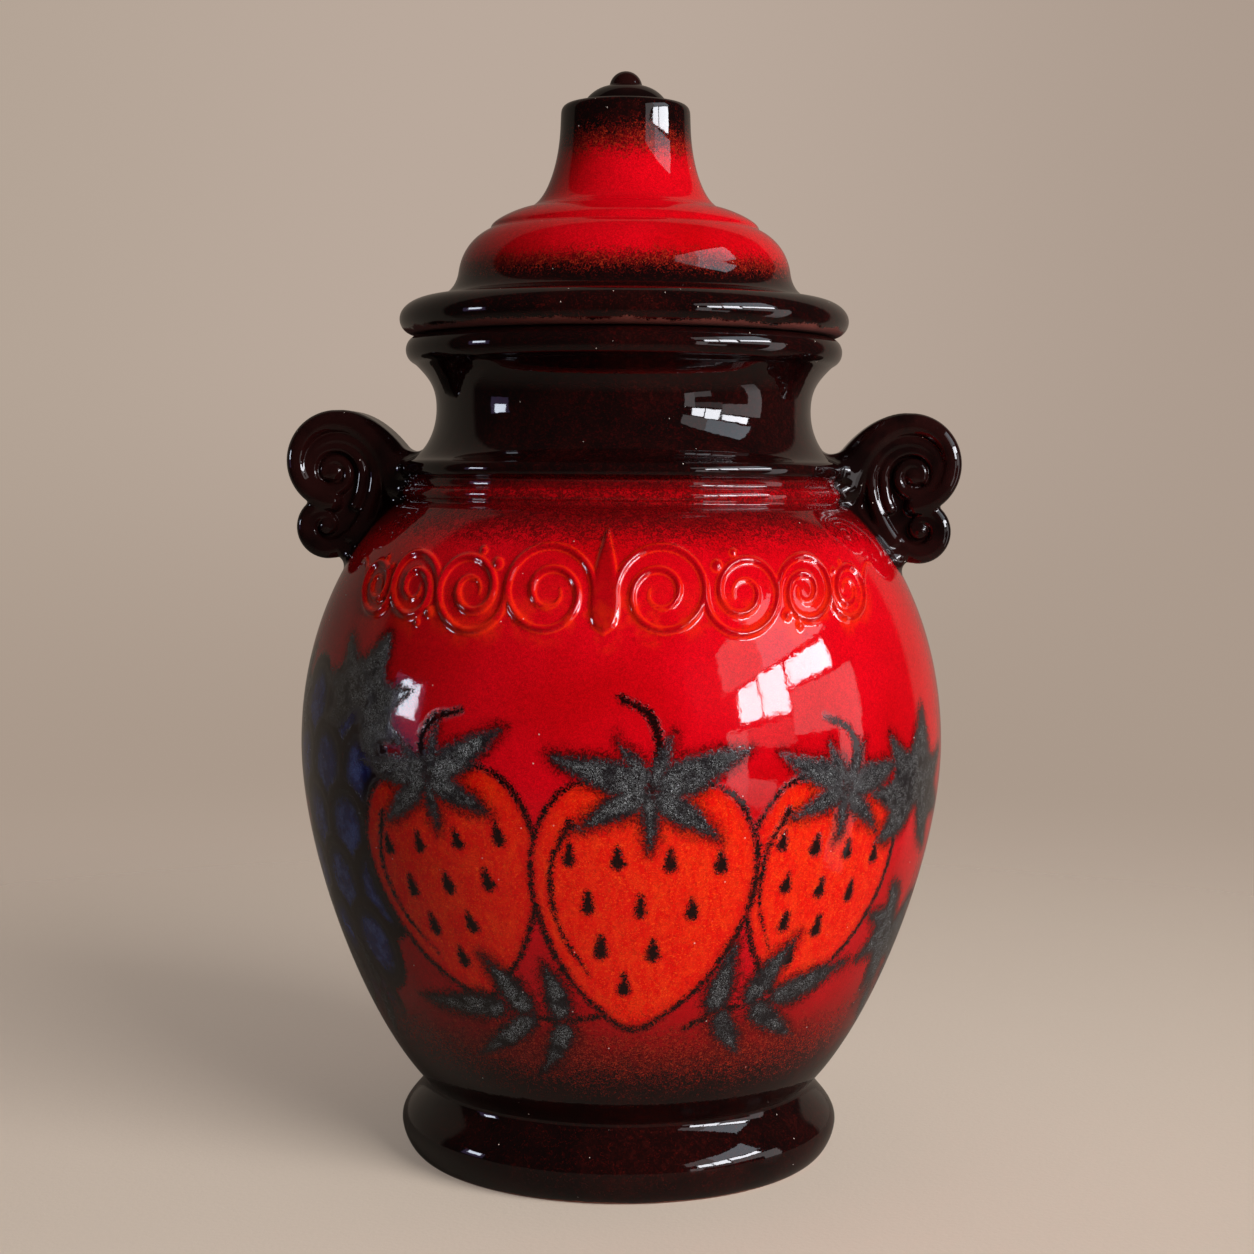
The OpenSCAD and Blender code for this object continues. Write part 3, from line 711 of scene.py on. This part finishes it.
def field_slope(field, points, reach=0.05):
    """Value and slope of a field at points."""
    slope = []
    for axis in range(3):
        shift = np.zeros(3)
        shift[axis] = reach
        slope.append((field(*(points + shift).T) - field(*(points - shift).T)) / (2 * reach))
    return field(*points.T), np.stack(slope, -1)


def surface_net(field, box, cell):
    """Quads on the zero level of a field: one point in each cell that the level crosses."""
    low, high = np.array(box)
    count = np.ceil((high - low) / cell).astype(int) + 1
    axes = [low[i] + cell * np.arange(count[i]) for i in range(3)]
    value = field(axes[0][:, None, None], axes[1][None, :, None], axes[2][None, None, :])
    total = np.zeros((*count, 3))
    crossings = np.zeros(count, int)
    quads = []
    for axis in range(3):
        along = np.eye(3, dtype=int)[axis]
        u, v = np.roll(along, 1), np.roll(along, 2)
        start = value[tuple(slice(0, n - k) for n, k in zip(count, along))]
        end = value[tuple(slice(k, n) for n, k in zip(count, along))]
        at = np.argwhere((start < 0) != (end < 0))
        a, b = start[tuple(at.T)], end[tuple(at.T)]
        place = at + (a / (a - b))[:, None] * along
        ring = [at - u - v, at - v, at, at - u]
        for cell_at in ring:
            np.add.at(total, tuple(cell_at.T), place)
            np.add.at(crossings, tuple(cell_at.T), 1)
        corners = np.stack([np.ravel_multi_index(tuple(c.T), count) for c in ring], 1)
        quads.append(np.where((a < 0)[:, None], corners, corners[:, ::-1]))
    used = np.flatnonzero(crossings)
    number = np.zeros(crossings.size, int)
    number[used] = np.arange(len(used))
    points = total.reshape(-1, 3)[used] / crossings.ravel()[used][:, None] * cell + low
    for _ in range(2):
        level, slope = field_slope(field, points)
        step = level[:, None] * slope / np.maximum((slope ** 2).sum(1), 0.2)[:, None]
        points = points - np.clip(step, -cell / 2, cell / 2)
    return points, number[np.vstack(quads)]


# Materials

class Nodes:
    """A node tree, with short calls for the kinds used here."""

    def __init__(self, tree):
        self.tree = tree
        tree.nodes.clear()

    def node(self, kind, inputs=(), **settings):
        made = self.tree.nodes.new(kind)
        for key, value in settings.items():
            setattr(made, key, value)
        for key, value in dict(inputs).items():
            socket = made.inputs[key]
            if isinstance(value, bpy.types.NodeSocket):
                self.tree.links.new(value, socket)
            elif socket.type == "RGBA" and len(value) == 3:
                socket.default_value = (*value, 1.0)
            else:
                socket.default_value = value
        return made

    def math(self, operation, a, b=0.0, c=0.0):
        return self.node("ShaderNodeMath", {0: a, 1: b, 2: c}, operation=operation).outputs[0]

    def add(self, *values):
        total = values[0]
        for value in values[1:]:
            total = self.math("ADD", total, value)
        return total

    def times(self, *values):
        total = values[0]
        for value in values[1:]:
            total = self.math("MULTIPLY", total, value)
        return total

    def square(self, value):
        return self.math("MULTIPLY", value, value)

    def inverse(self, value):
        return self.math("SUBTRACT", 1.0, value)

    def step(self, value, low, high, out_low=0.0, out_high=1.0):
        """A smooth change from out_low to out_high as value goes from low to high."""
        return self.node("ShaderNodeMapRange", {0: value, 1: low, 2: high, 3: out_low, 4: out_high},
                         interpolation_type="SMOOTHSTEP").outputs[0]

    def mix(self, factor, a, b):
        """A blend of two colours."""
        made = self.node("ShaderNodeMix", {0: factor}, data_type="RGBA")
        for index, value in ((6, a), (7, b)):
            if isinstance(value, bpy.types.NodeSocket):
                self.tree.links.new(value, made.inputs[index])
            else:
                made.inputs[index].default_value = (*value, 1.0)
        return made.outputs[2]


class Shader(Nodes):
    """The nodes of a material, in the coordinates of its object."""

    def __init__(self, name):
        self.material = bpy.data.materials.new(name)
        self.material.use_nodes = True
        super().__init__(self.material.node_tree)
        self.place = self.node("ShaderNodeTexCoord").outputs["Object"]
        self.x, self.y, self.z = self.node("ShaderNodeSeparateXYZ", {0: self.place}).outputs

    def noise(self, size, detail=2.0, rough=0.5, twist=0.0, stretch=(1, 1, 1), shift=0.0):
        """Noise from 0 to 1 with features of about a size in millimetres."""
        place = self.place
        if stretch != (1, 1, 1) or shift:
            moved = {0: place, 1: (shift, shift, shift), 3: stretch}
            place = self.node("ShaderNodeMapping", moved).outputs[0]
        return self.node("ShaderNodeTexNoise", {"Vector": place, "Scale": 1 / (size * MM), "Detail": detail,
                                                "Roughness": rough, "Distortion": twist}).outputs["Fac"]

    def value(self, name):
        """A number stored at the mesh's points."""
        return self.node("ShaderNodeAttribute", attribute_name=name).outputs["Fac"]

    def bump(self, height, distance):
        """Bumps of a height in millimetres."""
        inputs = {"Height": height, "Distance": distance * MM, "Strength": 1.0}
        return self.node("ShaderNodeBump", inputs).outputs[0]

    def finish(self, color, roughness, normal):
        surface = {"Base Color": color, "Roughness": roughness, "IOR": GLASS_IOR, "Normal": normal}
        shader = self.node("ShaderNodeBsdfPrincipled", surface)
        self.node("ShaderNodeOutputMaterial", {0: shader.outputs[0]})
        return self.material


GLASS_IOR = 1.5


def rgb(r, g, b):
    """A colour written as it looks, from 0 to 255, in the shader's own scale."""
    return tuple(((c / 255 + 0.055) / 1.055) ** 2.4 if c > 10 else c / 255 / 12.92 for c in (r, g, b))


RED = rgb(234, 4, 24)
RED_DEEP = rgb(204, 1, 10)
RED_SHADE = rgb(116, 2, 4)
WINE = rgb(84, 4, 8)
FLESH = rgb(240, 16, 4)
ORANGE = rgb(250, 50, 8)
ORANGE_LIGHT = rgb(255, 88, 20)
EMBER = rgb(188, 54, 26)
BROWN = rgb(46, 11, 9)
BROWN_LIGHT = rgb(38, 13, 12)
BLACK = rgb(15, 5, 5)
INK = rgb(24, 5, 5)
CHARCOAL = rgb(26, 21, 24)
CRYSTAL = rgb(172, 176, 178)
BLUE_BLACK = rgb(10, 10, 26)
BLUE = rgb(26, 46, 132)
BLUE_LIGHT = rgb(84, 114, 204)
CLAY = rgb(170, 104, 84)
# Bare clay darkened with painted shade, for the band under the lid's flange
CLAY_IN_PAINTED_SHADE = rgb(112, 52, 42)
# The pale painted glint in the pinholes
PINHOLE_GLINT = rgb(226, 214, 204)


def glaze_grain(s):
    """The fine crawled grain of the glaze, from 0 to 1."""
    fine = s.noise(1.1, 2.0, 0.6, twist=1.6)
    return s.step(fine, 0.36, 0.64)


def pinholes_and_glints(s, size=5.0, radius=0.055, share=0.45):
    """Sparse pinholes, as a mask: the glaze pits them and gives them a pale painted glint."""
    cells = s.node("ShaderNodeTexVoronoi", {"Vector": s.place, "Scale": 1 / (size * MM)})
    dot = s.inverse(s.step(cells.outputs["Distance"], radius * 0.55, radius))
    pick = s.node("ShaderNodeSeparateColor", {0: cells.outputs["Color"]}).outputs[0]
    return s.times(dot, s.math("LESS_THAN", pick, share))


def dark_glaze(s, thin_from=0.42, brown=BROWN, fine=0.75):
    """Near-black glaze that lets red-brown through where it is thin."""
    patch = s.step(s.noise(26, 3.0, 0.6, twist=0.6), thin_from, thin_from + 0.24)
    fleck = s.step(s.noise(1.5, 3.0, 0.65, twist=1.0, shift=3.0), 0.48, 0.66)
    thin = s.times(patch, s.math("MULTIPLY_ADD", fleck, fine, 1 - fine))
    return s.mix(s.times(thin, 0.9), BLACK, brown)


def burnt(s, color, dark, grain, share=1.0):
    """A colour under the black glaze as it thickens: wine red, rust flecks and then black."""
    depth = s.add(dark, s.times(s.math("SUBTRACT", grain, 0.5), 0.34))
    wine = s.mix(s.times(s.step(depth, 0.02, 0.5), 0.92), color, WINE)
    fleck = s.step(s.noise(1.0, 3.0, 0.65, twist=2.0, shift=11.0), 0.50, 0.62)
    rust = s.times(fleck, share, s.step(depth, 0.12, 0.4), s.inverse(s.step(depth, 0.60, 0.90)))
    wine = s.mix(s.times(rust, 0.62), wine, EMBER)
    return s.mix(s.step(depth, 0.42, 0.95), wine, s.mix(s.times(rust, 0.45), dark_glaze(s), EMBER))


def glaze_surface(s, color, extra_height=None, clay=None, waves=1.0):
    """The glassy surface with its slight ripple and pinholes, which hold a pale painted glint. waves is the
    share of the small ripple.
    """
    ripple = s.noise(7.0, 2.0, 0.5)
    fine = s.noise(1.3, 2.0, 0.5, shift=1.0)
    spots = pinholes_and_glints(s)
    # The pinholes are pits in the bump, and their pale colour is a painted glint
    color = s.mix(s.times(spots, 0.8), color, PINHOLE_GLINT)
    wave = s.noise(2.8, 2.0, 0.5, shift=6.0)
    small = s.times(s.add(wave, fine), 0.012, waves)
    height = s.add(s.times(ripple, 0.05), small, s.times(spots, -0.05))
    if extra_height is not None:
        height = s.add(height, extra_height)
    rough = s.step(s.noise(9.0, 2.0), 0.3, 0.8, 0.025, 0.055)
    if clay is not None:
        rough = s.math("MULTIPLY_ADD", clay, 0.8, rough)
    return s.finish(color, rough, s.bump(height, 1.0))


# The middle of the dark glaze round each ear, in millimetres
POOL_X, POOL_Z = 84.0, 209.0


def pot_material():
    s = Shader("pot_glaze")
    grain = glaze_grain(s)
    soft = s.noise(9.0, 3.0, 0.6)
    wide = s.noise(48.0, 2.0, 0.5)
    worm = s.step(s.noise(0.8, 2.0, 0.6, twist=2.2, shift=2.0), 0.4, 0.62)
    z = s.times(s.z, 1 / MM)

    red = s.mix(s.step(wide, 0.35, 0.7), RED, RED_DEEP)
    red = s.mix(s.times(s.inverse(worm), 0.36), red, RED_SHADE)
    red = s.mix(s.times(s.inverse(s.step(z, 60.0, 106.0)), s.inverse(grain), 0.45), red, BROWN)

    rag = s.add(s.times(s.math("SUBTRACT", soft, 0.5), 2.4), s.times(s.math("SUBTRACT", grain, 0.5), 1.6))
    fruit = s.inverse(s.step(s.add(s.value("fruit"), s.times(rag, 0.5)), -0.6, 0.5))
    streak = s.step(s.noise(4.5, 3.0, 0.65, twist=1.2, stretch=(1, 1, 0.45)), 0.40, 0.68)
    flesh = s.mix(s.times(streak, 0.9), FLESH, ORANGE)
    flesh = s.mix(s.times(s.inverse(worm), 0.4), flesh, RED_DEEP)
    stroke = s.step(s.noise(1.5, 2.0, 0.6, twist=3.2, shift=4.0), 0.56, 0.66)
    flesh = s.mix(s.times(stroke, 0.7), flesh, ORANGE_LIGHT)
    flesh = s.mix(s.times(s.step(s.value("fruit"), -5.0, 0.0), 0.45), flesh, RED_DEEP)
    color = s.mix(fruit, red, flesh)

    berry = s.inverse(s.step(s.add(s.value("berry"), s.times(rag, 0.6)), -0.6, 0.6))
    bloom = s.times(s.step(s.noise(6.0, 3.0, 0.6, shift=5.0), 0.44, 0.62), s.step(worm, 0.2, 0.9, 0.4, 1.0))
    heart = s.inverse(s.step(s.value("berry"), -7.5, -2.0))
    color = s.mix(berry, color, s.mix(s.times(bloom, heart), s.mix(heart, BLUE_BLACK, BLUE), BLUE_LIGHT))

    ink = s.inverse(s.step(s.add(s.value("ink"), s.times(rag, 0.8)), -0.5, 0.9))
    color = s.mix(s.times(ink, s.step(soft, 0.22, 0.4, 0.6, 1.0)), color, INK)

    bleed = s.inverse(s.step(s.add(s.value("leaf"), s.times(rag, 1.6)), -1.0, 3.6))
    color = s.mix(s.times(bleed, 0.92), color, INK)
    leaf = s.inverse(s.step(s.add(s.value("leaf"), s.times(rag, 0.9)), -1.8, 0.2))
    crystal = s.step(s.noise(0.8, 3.0, 0.7, twist=3.4, shift=7.0), 0.52, 0.62)
    within = s.inverse(s.step(s.add(s.value("leaf"), s.times(rag, 0.8)), -3.2, -1.0))
    patchy = s.times(within, s.step(s.noise(4.5, 2.0, 0.5, shift=9.0), 0.34, 0.54, 0.08, 1.0))
    leaves = s.mix(s.times(crystal, patchy), CHARCOAL, CRYSTAL)

    ridge = s.value("relief")
    run = s.times(s.value("run"), s.step(soft, 0.40, 0.58))
    color = s.mix(s.times(run, 0.6), color, ORANGE)
    color = s.mix(s.times(s.step(ridge, 0.45, 1.0), 0.45), color, RED_SHADE)
    # Orange on the flanks of the raised scrolls: thin glaze there, and a painted highlight along their edges
    flank_glaze_and_highlight = s.times(s.step(ridge, 0.01, 0.2), s.inverse(s.step(ridge, 0.25, 0.6)))
    color = s.mix(s.times(flank_glaze_and_highlight, 0.5), color, ORANGE)

    wander = s.times(s.math("SUBTRACT", soft, 0.5), 16.0)
    low = s.inverse(s.step(s.add(z, s.times(wander, 0.6)), 28.0, 72.0))
    collar = s.step(s.add(z, s.times(wander, 0.25)), COLLAR_Z - 15.0, COLLAR_Z + 1.5, 0.0, 0.56)
    on_ring = s.times(s.step(z, LOWER_RING_Z - 1.0, LOWER_RING_Z + 1.0),
                      s.inverse(s.step(z, BAND_Z - 0.5, BAND_Z + 0.5)))
    collar = s.math("SUBTRACT", collar, s.times(on_ring, 0.16))
    neck = s.step(z, BAND_Z - 0.5, UPPER_RING_Z + 2.0)
    from_ear = s.math("SQRT", s.add(s.square(s.math("SUBTRACT", s.math("ABSOLUTE", s.x), POOL_X * MM)),
                                    s.square(s.y), s.square(s.math("SUBTRACT", s.z, POOL_Z * MM))))
    pool = s.inverse(s.step(s.add(s.times(from_ear, 1 / MM), s.times(wander, 0.3)), 13.0, 27.0))
    dark = s.math("MAXIMUM", s.math("MAXIMUM", low, collar), s.math("MAXIMUM", neck, pool))
    color = burnt(s, color, dark, grain, s.step(z, 100.0, 140.0, 1.0, 0.12))
    color = s.mix(leaf, color, leaves)

    clay = s.inverse(s.step(s.add(z, s.times(s.math("SUBTRACT", soft, 0.5), 1.2)), 0.75, 1.05))
    color = s.mix(clay, color, CLAY)
    rise = s.add(s.times(leaf, crystal, patchy, 0.12), s.times(leaf, 0.12), s.times(ink, 0.05))
    waves = s.times(s.step(z, 196.0, 208.0, 1.0, 0.3), s.step(pool, 0.0, 0.6, 1.0, 0.15))
    return glaze_surface(s, color, extra_height=rise, clay=clay, waves=waves)


def lid_material():
    s = Shader("lid_glaze")
    grain = glaze_grain(s)
    worm = s.step(s.noise(0.8, 2.0, 0.6, twist=2.2, shift=2.0), 0.4, 0.62)
    soft = s.noise(8.0, 3.0, 0.6)
    z = s.times(s.z, 1 / MM)
    red = s.mix(s.step(s.noise(40.0), 0.35, 0.7), RED, RED_DEEP)
    red = s.mix(s.times(s.inverse(worm), 0.42), red, RED_SHADE)
    wander = s.times(s.math("SUBTRACT", soft, 0.5), 8.0)
    high = s.step(s.add(z, wander), CAP_FOOT_Z - 16.0, CAP_FOOT_Z + 3.0)
    low = s.inverse(s.step(s.add(z, s.times(wander, 0.4)), DOME_FOOT_Z - 6.0, DOME_FOOT_Z + 7.0))
    color = burnt(s, red, s.math("MAXIMUM", high, low), grain)
    ragged = s.add(z, s.times(s.math("SUBTRACT", soft, 0.5), 4.0), s.times(grain, 0.6))
    # The bare clay band under the flange's edge takes a darker copy of the clay colour: painted shade, as
    # the edge faces down
    clay = s.inverse(s.step(ragged, SEAT_Z + 1.5, SEAT_Z + 2.2))
    color = s.mix(clay, color, CLAY_IN_PAINTED_SHADE)
    return glaze_surface(s, color, clay=clay, waves=0.6)


def black_material(name):
    s = Shader(name)
    return glaze_surface(s, dark_glaze(s, 0.36, BROWN_LIGHT, 0.2), waves=0.15)


def clay_material():
    s = Shader("bare_clay")
    tone = s.mix(s.noise(14.0, 3.0, 0.6), CLAY, rgb(140, 80, 66))
    color = s.mix(s.times(s.step(s.noise(1.2, 2.0, 0.6), 0.6, 0.7), 0.5), tone, rgb(92, 54, 46))
    return s.finish(color, s.step(s.noise(3.0), 0.2, 0.8, 0.75, 0.92), s.bump(s.noise(0.8, 3.0, 0.7), 0.12))


# Pieces

COLUMNS = 1152
LID_COLUMNS = 720


def pot_profile():
    """Rows of the pot, close together outside and wider inside, and where the outside starts and ends."""
    under, inner = pot_underside(), resampled(softened(pot_inside(), 0.4), 2.6)
    outer = resampled(softened(pot_outside(), 0.45), 0.72)
    return joined(under, outer, inner), len(under), len(under) + len(outer) - 1


def make_pot():
    profile, first, last = pot_profile()

    def lift(a, z, r):
        raised, _ = scroll_relief(a.ravel(), z.ravel(), r.ravel())
        return SCROLL_LIFT * raised.reshape(a.shape) * on_outside(a.shape)

    def on_outside(shape):
        row = np.arange(shape[0])[:, None]
        return np.broadcast_to((row >= first) & (row <= last), shape)

    piece, angle, height, radius = turned("pot_wall", profile, COLUMNS, lift)
    outside = on_outside((len(profile), COLUMNS)).ravel()
    layers = paint_frieze(angle, height, radius)
    for name, values in layers.items():
        put_values(piece, name, np.where(outside, values, Frieze.FAR))
    for name, values in zip(("relief", "run"), scroll_relief(angle, height, radius)):
        put_values(piece, name, values * outside)
    piece.data.materials.append(pot_material())
    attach(piece, "pot")
    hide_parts("pot_body")
    return piece


def make_lid():
    outer = resampled(softened(lid_outside(), 0.4), 0.6)
    inner = resampled(softened(lid_inside(), 0.4), 2.5)
    piece, _, _, _ = turned("lid_shell", joined(outer, (0, CAP_Z), inner), LID_COLUMNS)
    piece.data.materials.append(lid_material())
    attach(piece, "lid")
    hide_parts("lid")
    return piece


def make_knob():
    tip_z = CAP_Z + BUTTON_H
    shoulder_z = CAP_Z + BUTTON_H + 0.5
    side = bezier((BUTTON_R, CAP_Z + 0.4), (BUTTON_R - 1.6, CAP_Z + BUTTON_H * 0.62),
                  (TIP_R + 3.4, shoulder_z - 0.4), (TIP_R + 0.1, shoulder_z))
    tip = arc((0, tip_z), TIP_R, TIP_R, 6, 90)
    profile = joined((0, CAP_Z), (BUTTON_R, CAP_Z), side, tip)
    piece, _, _, _ = turned("knob", resampled(softened(profile, 0.3), 0.4), 256)
    piece.data.materials.append(black_material("knob_glaze"))
    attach(piece, "lid")
    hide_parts("lid_knob")
    return piece


def make_ears():
    """Both ears, the left one a mirror image."""
    lines, table = ear_lines(), pot_table()

    def field(x, y, z):
        return ear_field(x, y, z, lines, table)

    points, quads = surface_net(field, EAR_BOX, EAR_CELL)
    glaze = black_material("ear_glaze")
    for name, node, side in (("right_ear", "right_handle", 1), ("left_ear", "left_handle", -1)):
        piece = quad_mesh(name, points * (side, 1, 1), quads[:, ::side])
        piece.data.materials.append(glaze)
        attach(piece, "pot")
        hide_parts(node)


def make_locating_ring():
    inner, low = RING_R - RING_T, SEAT_Z - RING_H
    inner_edge = arc((inner + EDGE_R, low + EDGE_R), EDGE_R, EDGE_R, 180, 270)
    outer_edge = arc((RING_R - EDGE_R, low + EDGE_R), EDGE_R, EDGE_R, 270, 360)
    profile = joined((RING_R, SEAT_Z), (inner, SEAT_Z), inner_edge, outer_edge)[::-1]
    piece, _, _, _ = turned("locating_ring", resampled(profile, 0.8)[:-1], 360)
    piece.data.materials.append(clay_material())
    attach(piece, "lid")
    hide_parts("lid_locating_ring")
    return piece


# Camera, stage and light

FOCAL_LENGTH = 64.3
SENSOR = 36.0
CAMERA_PLACE = (0.0016, -0.731, 0.222)
CAMERA_PITCH = 4.0
CAMERA_ROLL = 0.41
# The whole studio is turned about the pot by this angle, which brings the right ear nearer
STUDIO_TURN = 3.0

BACKDROP_LOW = rgb(170, 153, 139)
BACKDROP_HIGH = rgb(186, 169, 156)
BACKDROP_LEFT = rgb(180, 164, 150)
BACKDROP_RIGHT = rgb(172, 155, 142)
FLOOR = rgb(138, 127, 116)
FLOOR_SEEN = rgb(244, 226, 208)
FLOOR_GLOW = rgb(205, 189, 176)
FLOOR_GRAIN = rgb(168, 150, 136)
FLOOR_REACH, FLOOR_SIDES = 2.4, 96


def studio(matrix):
    """A place in the studio, turned about the pot with it."""
    return Matrix.Rotation(math.radians(STUDIO_TURN), 4, "Z") @ matrix


def make_camera():
    camera = bpy.data.objects.new("camera", bpy.data.cameras.new("camera"))
    camera.data.lens = FOCAL_LENGTH
    camera.data.sensor_width = SENSOR
    tilt = Matrix.Rotation(math.radians(90 - CAMERA_PITCH), 4, "X")
    roll = Matrix.Rotation(math.radians(CAMERA_ROLL), 4, "Z")
    camera.matrix_world = studio(Matrix.Translation(CAMERA_PLACE) @ tilt @ roll)
    bpy.context.scene.collection.objects.link(camera)
    bpy.context.scene.camera = camera


ROOM = (0.030, 0.022, 0.020)
PAPER_LEFT = (0.150, 0.122, 0.099)
PAPER_RIGHT = (0.235, 0.190, 0.155)
FILL = (0.045, 0.041, 0.039)
# How much further round the paper reaches on the left than on the right
PAPER_LEAN = -0.222


def make_world():
    """A plain backdrop for the camera. Reflections see it behind the pot, and a dim room in front."""
    world = bpy.data.worlds.new("studio")
    world.use_nodes = True
    bpy.context.scene.world = world
    n = Nodes(world.node_tree)
    direction = n.node("ShaderNodeTexCoord").outputs["Generated"]
    x, y, z = n.node("ShaderNodeSeparateXYZ", {0: direction}).outputs
    turn = math.radians(STUDIO_TURN)
    side = n.add(n.times(x, math.cos(turn)), n.times(y, math.sin(turn)))
    deep = n.add(n.times(y, math.cos(turn)), n.times(x, -math.sin(turn)))
    high = n.mix(n.step(side, -0.02, 0.3), BACKDROP_HIGH, BACKDROP_RIGHT)
    high = n.mix(n.step(side, -0.3, -0.08), BACKDROP_LEFT, high)
    seen = n.mix(n.step(z, -0.14, 0.06), BACKDROP_LOW, high)
    paper = n.mix(n.step(side, -0.5, 0.5), PAPER_LEFT, PAPER_RIGHT)
    edge = n.math("MULTIPLY_ADD", side, PAPER_LEAN, deep)
    room = n.mix(n.step(edge, 0.40, 0.48), ROOM, paper)
    path = n.node("ShaderNodeLightPath")
    room = n.mix(path.outputs["Is Diffuse Ray"], room, FILL)
    sky = n.node("ShaderNodeBackground", {0: n.mix(path.outputs["Is Camera Ray"], room, seen), 1: 1.0})
    n.node("ShaderNodeOutputWorld", {0: sky.outputs[0]})


def make_floor():
    """A pale floor that fades into the backdrop with distance."""
    ring = arc((0, 0), FLOOR_REACH, FLOOR_REACH, 0, 360, FLOOR_SIDES)[:-1]
    mesh = bpy.data.meshes.new("floor")
    mesh.from_pydata([(x, y, 0) for x, y in ring.tolist()], [], [list(range(FLOOR_SIDES))])
    floor = bpy.data.objects.new("floor", mesh)
    bpy.context.scene.collection.objects.link(floor)
    s = Shader("floor")
    reach = s.math("SQRT", s.add(s.square(s.x), s.square(s.y)))
    seen = s.node("ShaderNodeLightPath").outputs["Is Camera Ray"]
    paper = s.mix(seen, FLOOR, FLOOR_SEEN)
    paper = s.mix(s.times(s.noise(2.2, 3.0, 0.6), 0.10), paper, FLOOR_GRAIN)
    lit = s.node("ShaderNodeBsdfDiffuse", {"Color": paper, "Normal": s.bump(s.noise(1.5, 3.0, 0.6), 0.1)})
    glow = s.node("ShaderNodeEmission", {"Color": FLOOR_GLOW})
    lit = s.node("ShaderNodeMixShader", {0: s.times(seen, 0.26), 1: lit.outputs[0], 2: glow.outputs[0]})
    clear = s.node("ShaderNodeBsdfTransparent")
    fade = s.step(reach, 0.0, 0.95)
    mixed = s.node("ShaderNodeMixShader", {0: fade, 1: lit.outputs[0], 2: clear.outputs[0]})
    s.node("ShaderNodeOutputMaterial", {0: mixed.outputs[0]})
    floor.data.materials.append(s.material)


def pane(name, middle, size, radiance, facing, color=(1, 1, 1), glossy=True, diffuse=True, shadow=True):
    """One evenly bright pane. Its middle is in metres, and its size is (width, height)."""
    light = bpy.data.lights.new(name, "AREA")
    light.shape = "RECTANGLE"
    light.size, light.size_y = size
    light.energy = radiance * 4 * size[0] * size[1]
    light.color = color
    light.use_shadow = shadow
    made = bpy.data.objects.new(name, light)
    z_axis = -np.array(facing, float) / np.linalg.norm(facing)
    x_axis = np.cross((0, 0, 1), z_axis)
    x_axis /= np.linalg.norm(x_axis)
    y_axis = np.cross(z_axis, x_axis)
    matrix = Matrix.Identity(4)
    for column, axis in enumerate((x_axis, y_axis, z_axis)):
        for row in range(3):
            matrix[row][column] = axis[row]
    matrix.translation = middle
    made.matrix_world = studio(matrix)
    made.visible_camera = False
    made.visible_glossy = glossy
    made.visible_diffuse = diffuse
    bpy.context.scene.collection.objects.link(made)


WALL_X = 1.5
SKY = (0.93, 0.94, 1.0)
BLUISH = (0.80, 0.90, 1.0)
PALE_BLUE = (0.80, 0.88, 1.0)
VIOLET = (0.60, 0.45, 1.0)
PINK = (1.0, 0.94, 0.95)
WARM = (1.0, 0.985, 0.97)
KEY_AZIMUTH, KEY_HEIGHT, KEY_DISTANCE = 42.0, 20.0, 2.5
# Panes on the wall to the right: (near y, far y, low z, high z, radiance) in metres
SKY_PANES = ((-1.72, -1.32, 0.42, 0.79, 17.0), (-1.28, -0.88, 0.42, 0.82, 17.0),
             (-0.83, -0.24, 0.60, 0.80, 17.0))
UPPER_PANE = (-1.15, -0.14, 0.86, 1.50, 2.0)
HAZE_PANES = ((-2.10, -1.15, 0.84, 1.50, 1.0), (-0.85, 0.00, 0.22, 0.56, 1.1),
              (-0.30, 0.00, -0.62, 0.22, 1.1), (-2.05, -1.62, -0.45, 0.36, 1.2),
              (-1.62, -1.10, -0.45, -0.12, 0.8), (-1.62, -0.85, 0.16, 0.36, 0.45))
# Panes on the wall to the left. The small window hangs a little before the wall
GLOW_PANE = (-0.50, -0.12, 0.06, 0.50, 0.45)
SMALL_WINDOW_X = -1.49
SMALL_WINDOW = (-0.44, -0.20, 0.26, 0.48, 12.0)


def wall_pane(name, wall_x, place, color):
    """A pane on a side wall, which only reflections show."""
    near, far, low, high, radiance = place
    facing = (-math.copysign(1, wall_x), 0, 0)
    pane(name, (wall_x, (near + far) / 2, (low + high) / 2), (far - near, high - low), radiance, facing,
         color, diffuse=False)


def make_lights():
    """A window on the right with a bright strip of sky, a small one on the left, and soft light."""
    for k, place in enumerate(SKY_PANES):
        wall_pane(f"sky_{k}", WALL_X, place, SKY)
    wall_pane("upper", WALL_X, UPPER_PANE, BLUISH)
    for k, place in enumerate(HAZE_PANES):
        wall_pane(f"haze_{k}", WALL_X, place, PINK)
    wall_pane("glow", -WALL_X, GLOW_PANE, VIOLET)
    wall_pane("small_window", SMALL_WINDOW_X, SMALL_WINDOW, PALE_BLUE)
    turn, rise = math.radians(KEY_AZIMUTH), math.radians(KEY_HEIGHT)
    out = np.array([math.sin(turn) * math.cos(rise), -math.cos(turn) * math.cos(rise), math.sin(rise)])
    middle = KEY_DISTANCE * out + np.array([0, 0, 0.15])
    pane("key", tuple(middle), (1.6, 1.35), 9.4, tuple(-out), WARM, glossy=False)
    pane("top", (0, 0.1, 1.9), (1.4, 1.4), 0.3, (0, 0.05, -1), glossy=False)
    pane("back_fill", (-0.5, 1.7, 0.8), (1.6, 1.2), 0.9, (0.3, -1, -0.3), glossy=False, shadow=False)


scene = bpy.context.scene
scene.view_settings.view_transform = "Standard"
make_camera()
make_world()
make_floor()
make_lights()
make_pot()
make_lid()
make_knob()
make_locating_ring()
make_ears()
